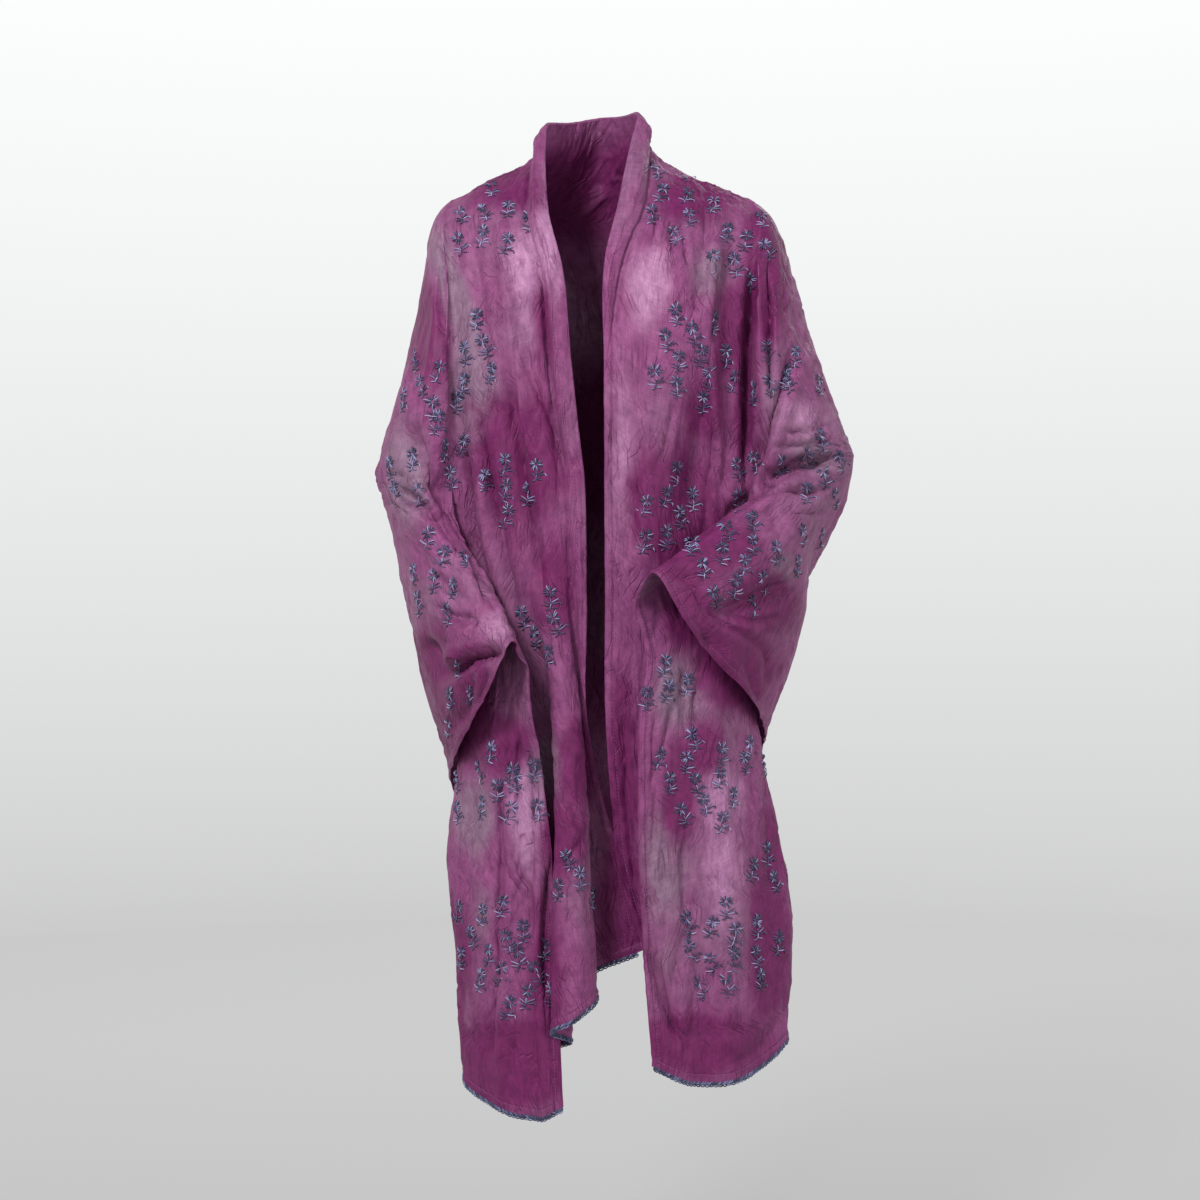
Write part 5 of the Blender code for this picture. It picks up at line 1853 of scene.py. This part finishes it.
@dataclass
class Embroidery:
    """Clusters of star-flower sprigs in straight stitches."""

    thickness: float = 1.55  # mm
    arch: float = 1.3  # mm
    bends: int = 4
    petals: int = 7
    petal_start: float = 1.8  # mm from a flower's middle
    petal_end: float = 9.0  # mm
    petal_width: float = 1.2  # mm from a petal's middle line to each of its two stitches
    spacing: float = 18.0  # mm, a cluster's radius for one sprig
    size_range: tuple[float, float] = (1.02, 1.22)
    stretch: float = 1.5  # a stitch longer than this, against its drawn length, isn't sewn
    seed: int = 7

    STEM = (((0.0, -8.0), (1.0, -13.0)), ((1.0, -12.5), (-0.6, -19.0)), ((-0.6, -18.5), (-5.0, -20.0)))
    LEAVES = (
        ((1.0, -12.0), (8.8, -7.5)), ((1.4, -13.6), (10.0, -11.5)), ((9.6, -11.0), (12.0, -14.5)),
        ((0.6, -14.0), (-7.6, -9.5)), ((0.4, -15.8), (-9.2, -13.8)), ((0.0, -17.5), (7.0, -18.5)),
    )

    def unit_stitches(self, rng: random.Random) -> list[tuple[Any, Any, float]]:
        """The stitches of one sprig, flat, in mm from its middle.

        Args:
            rng: the source of its small differences.

        Returns:
            Each stitch's start, end and tone.
        """
        made = []
        turn = rng.uniform(0, math.tau)
        for petal in range(self.petals):
            angle = turn + math.tau * petal / self.petals + rng.uniform(-0.12, 0.12)
            direction = np.array((math.cos(angle), math.sin(angle)))
            reach = self.petal_end * rng.uniform(0.86, 1.1)
            side = np.array((-direction[1], direction[0])) * self.petal_width
            for bow in (1.0, -1.0):
                begin = direction * self.petal_start + side * bow * 0.35
                made.append((begin, direction * reach * rng.uniform(0.8, 1.0) + side * bow))
        made += [(np.array(start), np.array(end)) for start, end in (*self.STEM, *self.LEAVES)]
        tilt, size = rng.uniform(-0.4, 0.4), rng.uniform(*self.size_range)
        turned = np.array(((math.cos(tilt), -math.sin(tilt)), (math.sin(tilt), math.cos(tilt)))) * size
        middle = np.array((0.0, 5.0))
        sprig = []
        for start, end in made:
            sprig.append((turned @ (start + middle), turned @ (end + middle), rng.random() ** 1.3))
        return sprig

    def sew(self, sheets: dict[str, Sheet]) -> dict[str, list[Stitch]]:
        """All the stitches, by the sheet that their cluster belongs to.

        Args:
            sheets: every sheet by name.

        Returns:
            The stitches by the sheet's name.
        """
        made: dict[str, list[Stitch]] = {}
        for number, cluster in enumerate(CLUSTERS):
            rng = random.Random(self.seed * 1000 + number)
            cloth = ClothView(self.reached(cluster.sheet, sheets), cluster.view)
            phase = rng.uniform(0, math.tau)
            shape = np.array((math.sqrt(cluster.wide), 1.0 / math.sqrt(cluster.wide)))
            for index in range(cluster.count):
                angle = phase + index * math.pi * (3 - math.sqrt(5))
                spread = self.spacing * math.sqrt(index + 0.4)
                centre = np.array((cluster.x, cluster.z))
                centre = centre + np.array((math.cos(angle), math.sin(angle))) * shape * spread
                shares = cloth.shares(centre)
                if shares is not None:
                    drawn = self.unit_stitches(rng)
                    made.setdefault(cluster.sheet, []).extend(self.placed(cloth, centre, shares, drawn))
        return made

    def placed(
        self, cloth: ClothView, centre: np.ndarray, shares: np.ndarray, drawn: Sequence[Any]
    ) -> list[Stitch]:
        """One sprig's stitches on the cloth.

        Args:
            cloth: the cloth.
            centre: the sprig's place in the view.
            shares: how far the cloth's slope shortens it across and down.
            drawn: its flat stitches.

        Returns:
            The stitches that lie on the cloth.
        """
        made = []
        for start, end, tone in drawn:
            ends = [cloth.at(centre + place * shares) for place in (start, end)]
            if None in ends:
                continue
            (first, out_first), (second, out_second) = ends
            if np.linalg.norm(second - first) > self.stretch * np.linalg.norm(end - start) + 1.0:
                continue
            out = unit(out_first + out_second)
            lift = out * (SHEET_THICKNESS / 2 + 0.3)
            made.append(Stitch(first + lift, second + lift, out, tone))
        return made

    @staticmethod
    def reached(name: str, sheets: dict[str, Sheet]) -> list[Sheet]:
        """The sheets that the needle can reach from one of them without leaving the cloth's outer face.

        Args:
            name: the sheet's name.
            sheets: every sheet by name.

        Returns:
            The sheets.
        """
        part, side = name.split("_")[0], name.split("_")[-1]
        if part == "drape":
            return [sheets[name]]
        if part == "back":
            return [sheets["back"], sheets["arm_left"], sheets["arm_right"]]
        return [sheets[f"front_{side}"], sheets[f"arm_{side}"], sheets["back"]]


class ClothView:
    """The outer face of some sheets, as one view shows it."""

    REACH = 3.6  # mm in the view from a place to the nearest point of the cloth
    LAYER = 14.0  # mm in depth within which points count as the same layer
    LEAST_SHARE = 0.45
    LEAST_FACING = 0.24

    def __init__(self, sheets: Sequence[Sheet], view: View) -> None:
        """Gather the points that face the view.

        Args:
            sheets: the sheets.
            view: the side that they are seen from.
        """
        parts: list[list[np.ndarray]] = [[], [], [], []]
        for sheet in sheets:
            even = normals(sheet.smooth) * sheet.turn
            shown = facing(sheet.smooth, even, view) > self.LEAST_FACING
            values = (seen(sheet.grid, view), sheet.grid, sheet.outward(), even)
            for store, value in zip(parts, values):
                store.append(value[shown])
        self.places, self.points, self.outward, self.even = (np.concatenate(store) for store in parts)
        self.depth = self.points[:, 1] * (1.0 if view is View.FRONT else -1.0)

    def nearest(self, place: np.ndarray) -> int | None:
        """The point of the outermost layer that is nearest to a place.

        Args:
            place: the place in the view, in mm.

        Returns:
            The point's number, or None off the cloth.
        """
        away = np.linalg.norm(self.places - place, axis=-1)
        near = np.flatnonzero(away < self.REACH)
        if not len(near):
            return None
        near = near[self.depth[near] < self.depth[near].min() + self.LAYER]
        return int(near[np.argmin(away[near])])

    def at(self, place: np.ndarray) -> tuple[np.ndarray, np.ndarray] | None:
        """The point of the cloth that shows at a place.

        Args:
            place: the place in the view, in mm.

        Returns:
            The point and its outward direction, or None off the cloth.
        """
        index = self.nearest(place)
        if index is None:
            return None
        x, z = place - self.places[index]
        out = self.outward[index]
        slope = out[1] if abs(out[1]) > 0.3 else math.copysign(0.3, self.even[index][1])
        return self.points[index] + np.array((x, -(out[0] * x + out[2] * z) / slope, z)), out

    def shares(self, place: np.ndarray) -> np.ndarray | None:
        """How far the cloth's slope shortens a drawing across and down it at a place.

        Args:
            place: the place in the view, in mm.

        Returns:
            The two shares, or None off the cloth.
        """
        index = self.nearest(place)
        if index is None:
            return None
        out = self.even[index]
        level = math.hypot(out[0], out[1])
        return np.maximum((abs(out[1]) / level, level), self.LEAST_SHARE)


@dataclass
class HemSewing:
    """Small running stitches along the hems."""

    inset: float = 9.5  # mm from the edge
    pitch: float = 4.2  # mm
    length: float = 2.6  # mm
    thickness: float = 0.55  # mm

    def along(self, sheet: Sheet, edge: str) -> list[Stitch]:
        """The stitches along one edge of a sheet.

        Args:
            sheet: the sheet.
            edge: the edge's name.

        Returns:
            The stitches.
        """
        grid, outward = sheet.grid, sheet.outward()
        if edge.endswith("row"):
            grid, outward = grid.swapaxes(0, 1), outward.swapaxes(0, 1)
        if edge.startswith("last"):
            grid, outward = grid[:, ::-1], outward[:, ::-1]
        run = arc_lengths(grid, 1)
        line, out = [], []
        for row in range(len(grid)):
            line.append([np.interp(self.inset, run[row], grid[row, :, axis]) for axis in range(3)])
            out.append([np.interp(self.inset, run[row], outward[row, :, axis]) for axis in range(3)])
        line, out = np.array(line), unit(np.array(out))
        length = np.concatenate([[0.0], np.cumsum(np.linalg.norm(np.diff(line, axis=0), axis=1))])
        stitches = []
        for begin in np.arange(self.pitch, length[-1] - self.pitch, self.pitch):
            ends = [np.array([np.interp(at, length, line[:, axis]) for axis in range(3)])
                    for at in (begin, begin + self.length)]
            way = unit(np.array([np.interp(begin, length, out[:, axis]) for axis in range(3)]))
            lift = way * SHEET_THICKNESS / 2
            stitches.append(Stitch(ends[0] + lift, ends[1] + lift, way, 0.5))
        return stitches


@dataclass
class CrochetEdging:
    """The crochet along one short end: two cords with slanted stitches across them, and scallops below."""

    stitch_pitch: float = 3.0  # mm
    depth: float = 3.4  # mm from the hem to the second cord
    scallop_pitch: float = 5.6  # mm
    scallop_depth: float = 2.6  # mm
    yarn: float = 1.6  # mm

    def strands(self, path: np.ndarray, away: np.ndarray, out: np.ndarray, rng: random.Random) -> list[Any]:
        """The strands of yarn, each a run of points.

        Args:
            path: the hem's points.
            away: the direction off the cloth at each.
            out: the outward direction at each.
            rng: the source of its small differences.

        Returns:
            The strands.
        """
        length = np.concatenate([[0.0], np.cumsum(np.linalg.norm(np.diff(path, axis=0), axis=1))])

        def at(place: float, off: float, lift: float) -> np.ndarray:
            """The point at a place along the hem.

            Args:
                place: how far along the hem it is, in mm.
                off: how far off the cloth's edge, in mm.
                lift: how far from the cloth's face, in mm.

            Returns:
                The point.
            """
            place = min(max(place, 0.0), length[-1])
            start, down, face = (np.array([np.interp(place, length, row[:, axis]) for axis in range(3)])
                                 for row in (path, away, out))
            return start + unit(down) * off + unit(face) * lift

        made = []
        pitch = length[-1] / int(length[-1] / self.stitch_pitch)
        for start in np.arange(0.0, length[-1] - pitch / 2, pitch):
            for side in (1.0, -1.0):
                lean, lift = rng.uniform(0.5, 0.8), 1.1 * side
                made.append([at(start + pitch * (share * 1.3 - lean * side * 0.4), self.depth * share - 0.8,
                                lift * math.sin(math.pi * share)) for share in np.linspace(0.0, 1.0, 5)])
        for off, wave in ((0.2, 0.25), (self.depth - 0.6, 0.35)):
            cord = []
            for place in np.arange(0.0, length[-1], 1.5):
                cord.append(at(place, off + wave * math.sin(place * 2.1), 0.3 * math.cos(place * 2.1)))
            made.append(cord)
        pitch = length[-1] / int(length[-1] / self.scallop_pitch)
        for start in np.arange(0.0, length[-1] - pitch / 2, pitch):
            reach = self.scallop_depth * rng.uniform(0.85, 1.1)
            made.append([at(start + pitch * (0.5 - 0.56 * math.cos(angle)),
                            self.depth - 1.0 + reach * math.sin(angle), 0.4 * math.sin(2 * angle))
                         for angle in np.linspace(0.0, math.pi, 9)])
        return made


class YarnTree(ThreadTree):
    """Gives every strand of an edging its round yarn."""

    def __init__(self, sides: int = 6) -> None:
        """Build the tree.

        Args:
            sides: how many sides the yarn has.
        """
        super().__init__("yarn_strands", {"Thickness": "Float"})
        radius = self.bench.math("MULTIPLY", self.source.outputs["Thickness"], 0.5)
        self.sweep(self.curves, sides, radius, 1.0)

    def make(
        self,
        name: str,
        strands: Sequence[Any],
        yarn: bpy.types.Material,
        thickness: float,
        rng: random.Random,
    ) -> bpy.types.Object:
        """Make one piece of all the strands.

        Args:
            name: the piece's name.
            strands: each strand's points, in mm.
            yarn: its material.
            thickness: the yarn's thickness, in mm.
            rng: the source of each strand's tone.

        Returns:
            The piece.
        """
        points, edges, tones = [], [], []
        for strand in strands:
            first = len(points)
            points += [(place * MM).tolist() for place in strand]
            edges += [(first + step, first + step + 1) for step in range(len(strand) - 1)]
            tones += [rng.uniform(0.0, 1.0)] * len(strand)
        mesh = bpy.data.meshes.new(name)
        mesh.from_pydata(points, edges, [])
        mesh.attributes.new("tone", "FLOAT", "POINT").data.foreach_set("value", tones)
        return self.spin(name, mesh, {"Thickness": thickness * MM, "Thread": yarn})


@dataclass
class Shawl:
    """The whole shawl: its sheets, embroidery, sewing and edgings."""

    silk: SilkFinish = field(default_factory=SilkFinish)
    thread: ThreadFinish = field(default_factory=ThreadFinish)
    # The yarn's pale tone, like the thread's, is partly painted glints.
    yarn: ThreadFinish = field(default_factory=lambda: ThreadFinish(
        name="crochet_yarn", dark=(0.014, 0.015, 0.045, 1.0), middle=(0.045, 0.05, 0.13, 1.0),
        light=(0.18, 0.19, 0.36, 1.0), roughness=0.6))
    sewing_thread: ThreadFinish = field(default_factory=lambda: ThreadFinish(
        name="hem_thread", dark=(0.22, 0.05, 0.16, 1.0), middle=(0.34, 0.10, 0.26, 1.0), roughness=0.5))
    embroidery: Embroidery = field(default_factory=Embroidery)
    hems: HemSewing = field(default_factory=HemSewing)
    edging: CrochetEdging = field(default_factory=CrochetEdging)
    turned: TurnedEdge = field(default_factory=TurnedEdge)
    soft_rings: int = 9
    soft_rounds: int = 40
    swell: float = 3.2  # mm
    fine: float = 2.0  # mm

    def side_sheets(self, side: str, grids: dict[str, np.ndarray]) -> list[Sheet]:
        """The front, the arm wrap and the drape of one side.

        Args:
            side: "left" or "right".
            grids: their grids.

        Returns:
            The sheets.
        """
        turn = 1 if side == "left" else -1
        front = Sheet(
            f"front_{side}", grids["front"], turn, (f"chest_{side}", f"fall_{side}"), CUTS[f"front_{side}"],
            ("upper_back",), ("first column", "last row"), (False, True, True, False),
        )
        arm = Sheet(
            f"arm_{side}", grids["arm"], turn, (f"arm_wrap_{side}", f"cuff_wrap_{side}"), CUTS[f"arm_{side}"],
            ("upper_back", f"chest_{side}"), ("last row",), (True, True, True, False),
        )
        drape = Sheet(
            f"drape_cloth_{side}", grids["drape"], turn, (f"drape_{side}",), CUTS[f"drape_{side}"],
            (f"fall_{side}",), ("first column", "last row"), (False, True, True, False),
        )
        return [front, arm, drape]

    def sheets(self) -> dict[str, Sheet]:
        """Every sheet, in its final form.

        Returns:
            The sheets by name.
        """
        left = SideForm(RIDGE_LEFT, ARM_LEFT, CHEST_LEFT, FALL_LEFT, DRAPE_LEFT, ARM_FOLDS_LEFT,
                        CHEST_FOLDS_LEFT, False).grids()
        right = SideForm(RIDGE_RIGHT, ARM_RIGHT, CHEST_RIGHT, FALL_RIGHT, DRAPE_RIGHT, ARM_FOLDS_RIGHT,
                         CHEST_FOLDS_RIGHT, True).grids()
        ridge_right = [(-x, y, z) for x, y, z in RIDGE_RIGHT]
        back = Sheet(
            "back", back_grid((ridge_right, RIDGE_LEFT), (right["arm"], left["arm"])), -1,
            ("upper_back", "lower_back"), CUTS["back"], ("chest_left", "chest_right"), ("last row",),
            (True, True, False, False),
        )
        made = [back, *self.side_sheets("left", left), *self.side_sheets("right", right)]
        weld = Weld(made)
        weld.soften(self.soft_rings, self.soft_rounds)
        for sheet in made:
            sheet.smooth = sheet.grid
        for group, view, creases in CREASES:
            weld.crease(group, view, creases)
        weld.wrinkle(self.swell, self.fine)
        weld.raise_by({sheet.name: sheet.hem_relief() for sheet in made})
        band = self.turned.sheet(weld.sheets["front_left"], weld.sheets["front_right"], back)
        return {**weld.sheets, band.name: band}

    def edge_run(self, front: Sheet, drape: Sheet) -> tuple[np.ndarray, np.ndarray, np.ndarray]:
        """The hem of one short end, along the fall and back along the drape.

        Args:
            front: the sheet that ends in the fall.
            drape: the drape in front of it.

        Returns:
            Its points, the direction off the cloth and the outward direction.
        """
        parts: list[list[np.ndarray]] = [[], [], []]
        for sheet, order in ((front, 1), (drape, -1)):
            last, before, out = sheet.grid[-1], sheet.grid[-3], sheet.outward()[-1]
            for store, values in zip(parts, (last, unit(last - before), out * order)):
                store.append(values[::order][1:-1])
        return tuple(np.concatenate(store) for store in parts)

    def build(self) -> None:
        """Build and dress every piece."""
        silk, thread = self.silk.material(), self.thread.material()
        yarn, sewing = self.yarn.material(), self.sewing_thread.material()
        stitch_tree, yarn_tree = StitchTree(), YarnTree()
        sheets = self.sheets()
        look = self.embroidery
        sewn = look.sew(sheets)
        for sheet in sheets.values():
            sprigs = sewn.get(sheet.name)
            if sprigs:
                name = f"sprigs_{sheet.name}"
                piece = stitch_tree.sew(name, sprigs, thread, look.thickness, look.arch, look.bends)
                self.add_trim(sheet, piece, "crochet", len(sprigs))
            runs = [stitch for edge in sheet.hems for stitch in self.hems.along(sheet, edge)]
            piece = stitch_tree.sew(f"hem_stitches_{sheet.name}", runs, sewing, self.hems.thickness, 0.2, 3)
            self.add_trim(sheet, piece, "silk", len(runs))
        rng = random.Random(3)
        for side in ("left", "right"):
            front, drape = sheets[f"front_{side}"], sheets[f"drape_cloth_{side}"]
            strands = self.edging.strands(*self.edge_run(front, drape), rng)
            piece = yarn_tree.make(f"crochet_{side}", strands, yarn, self.edging.yarn, rng)
            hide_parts(f"edging_fall_{side}", f"edging_drape_{side}")
            self.add_trim(drape, piece, "crochet", len(strands))
        for sheet in sheets.values():
            piece = sheet.build(silk)
            sheet.dress(piece)
            sizes = "%.3f x %.3f m, %.4f m2" % sheet.measured()
            log.info("%s: %s, cut %s, %d faces", sheet.name, sizes, sheet.flat, len(piece.data.polygons))

    @staticmethod
    def add_trim(sheet: Sheet, piece: bpy.types.Object, slot: str, count: int) -> None:
        """Dress a piece that is sewn to a sheet, and report it.

        Args:
            sheet: the sheet.
            piece: the stitches or the edging.
            slot: its material's slot; not used.
            count: how many stitches or strands it has.
        """
        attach(piece, BODY)
        sheet.stitches.append(piece)
        log.info("%s: %d stitches, %d faces", piece.name, count, len(piece.data.polygons))


class Lamp(NamedTuple):
    """A square soft light: its place and size in metres and its power."""

    name: str
    place: tuple
    size: float
    watts: float


@dataclass
class Studio:
    """The camera, the soft light and the pale, glowing bowl of a backdrop round the shawl."""

    floor_z: float = -1.45
    radius: float = 6.0
    bend: float = 2.4
    height: float = 5.0
    segments: int = 96
    bend_steps: int = 16
    low: tuple = (0.462, 0.462, 0.462, 1.0)
    high: tuple = (0.87, 0.885, 0.88, 1.0)
    paper: tuple = (0.16, 0.16, 0.16, 1.0)
    near_share: float = 0.7  # of the glow, on the side of the camera
    glow_top: float = 1.8  # the height where the wall is palest
    aim: tuple = (0.0, 0.0, -0.5)
    lamps: tuple[Lamp, ...] = (
        Lamp("key", (-1.5, -2.8, 1.7), 0.8, 110.0),
        Lamp("fill", (2.6, -2.4, 0.0), 2.0, 26.0),
        Lamp("rim", (1.2, 3.2, 1.8), 2.4, 34.0),
    )

    def camera(self) -> None:
        """Place the camera at the photograph's angle."""
        data = bpy.data.cameras.new("camera")
        data.sensor_width = 36.0
        data.lens = data.sensor_width * CAMERA_DISTANCE / SEEN_WIDTH
        data.clip_end = 50.0
        camera = new_object("camera", data)
        camera.location = (0.0, -CAMERA_DISTANCE * MM, EYE_HEIGHT * MM)
        camera.rotation_euler = (math.radians(90), 0.0, 0.0)
        bpy.context.scene.camera = camera

    def backdrop(self) -> None:
        """Make the floor and the wall round it as one bowl that glows as painted light, paler up towards its
        rim and dimmer on the camera's side.
        """
        profile = [(0.02, self.floor_z), (self.radius - self.bend, self.floor_z)]
        for step in range(1, self.bend_steps + 1):
            angle = math.radians(90) * step / self.bend_steps
            profile.append((self.radius - self.bend + self.bend * math.sin(angle),
                            self.floor_z + self.bend * (1 - math.cos(angle))))
        profile.append((self.radius, self.height))
        turns = [math.tau * index / self.segments for index in range(self.segments)]
        points = []
        for reach, z in profile:
            points += [(reach * math.cos(turn), reach * math.sin(turn), z) for turn in turns]
        ring = np.arange(self.segments)
        ahead = (ring + 1) % self.segments
        faces = [ring.tolist()]
        for low in range(0, len(points) - self.segments, self.segments):
            corners = (ring, ring + self.segments, ahead + self.segments, ahead)
            faces += (np.stack(corners, axis=1) + low).tolist()
        mesh = bpy.data.meshes.new("backdrop")
        mesh.from_pydata(points, [], faces)
        mesh.shade_smooth()
        material = bpy.data.materials.new("pale_paper")
        material.use_nodes = True
        bench = NodeBench(material.node_tree)
        place = bench.add("ShaderNodeTexCoord").outputs["Object"]
        height = bench.make("ShaderNodeSeparateXYZ", None, {0: place}).outputs["Z"]
        inputs = {"Value": height, "From Min": self.floor_z, "From Max": self.glow_top}
        rise = bench.make("ShaderNodeMapRange", None, inputs)
        glow = bench.blend(bench.math("POWER", rise.outputs[0], 0.6), self.low, self.high)
        behind = bench.make("ShaderNodeSeparateXYZ", None, {0: place}).outputs["Y"]
        near = (self.near_share, self.near_share, self.near_share, 1.0)
        sector = bench.blend(bench.ramp(behind, -1.5, 2.0), near, (1.0, 1.0, 1.0, 1.0))
        bench.feed(material.node_tree.nodes["Principled BSDF"], {
            "Base Color": self.paper, "Roughness": 1.0, "Specular IOR Level": 0.0,
            "Emission Color": bench.blend(1.0, glow, sector, "MULTIPLY"), "Emission Strength": 1.0,
        })
        mesh.materials.append(material)
        new_object("backdrop", mesh)

    def lights(self) -> None:
        """Hang the soft lights and set an even pale surround."""
        for lamp in self.lamps:
            data = bpy.data.lights.new(lamp.name, "AREA")
            data.size = lamp.size
            data.energy = lamp.watts
            light = new_object(lamp.name, data)
            light.location = lamp.place
            way = Vector(self.aim) - Vector(lamp.place)
            light.rotation_euler = way.to_track_quat("-Z", "Y").to_euler()
        world = bpy.data.worlds.new("surround")
        world.use_nodes = True
        world.node_tree.nodes["Background"].inputs["Color"].default_value = (0.96, 0.97, 1.0, 1.0)
        world.node_tree.nodes["Background"].inputs["Strength"].default_value = 0.22
        bpy.context.scene.world = world
        bpy.context.scene.view_settings.view_transform = "Standard"

    def build(self) -> None:
        """Set the stage."""
        self.camera()
        self.backdrop()
        self.lights()


def main() -> None:
    """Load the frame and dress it."""
    logging.basicConfig(level=logging.INFO, format="%(name)s: %(message)s")
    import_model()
    Studio().build()
    Shawl().build()


if __name__ == "__main__":
    main()
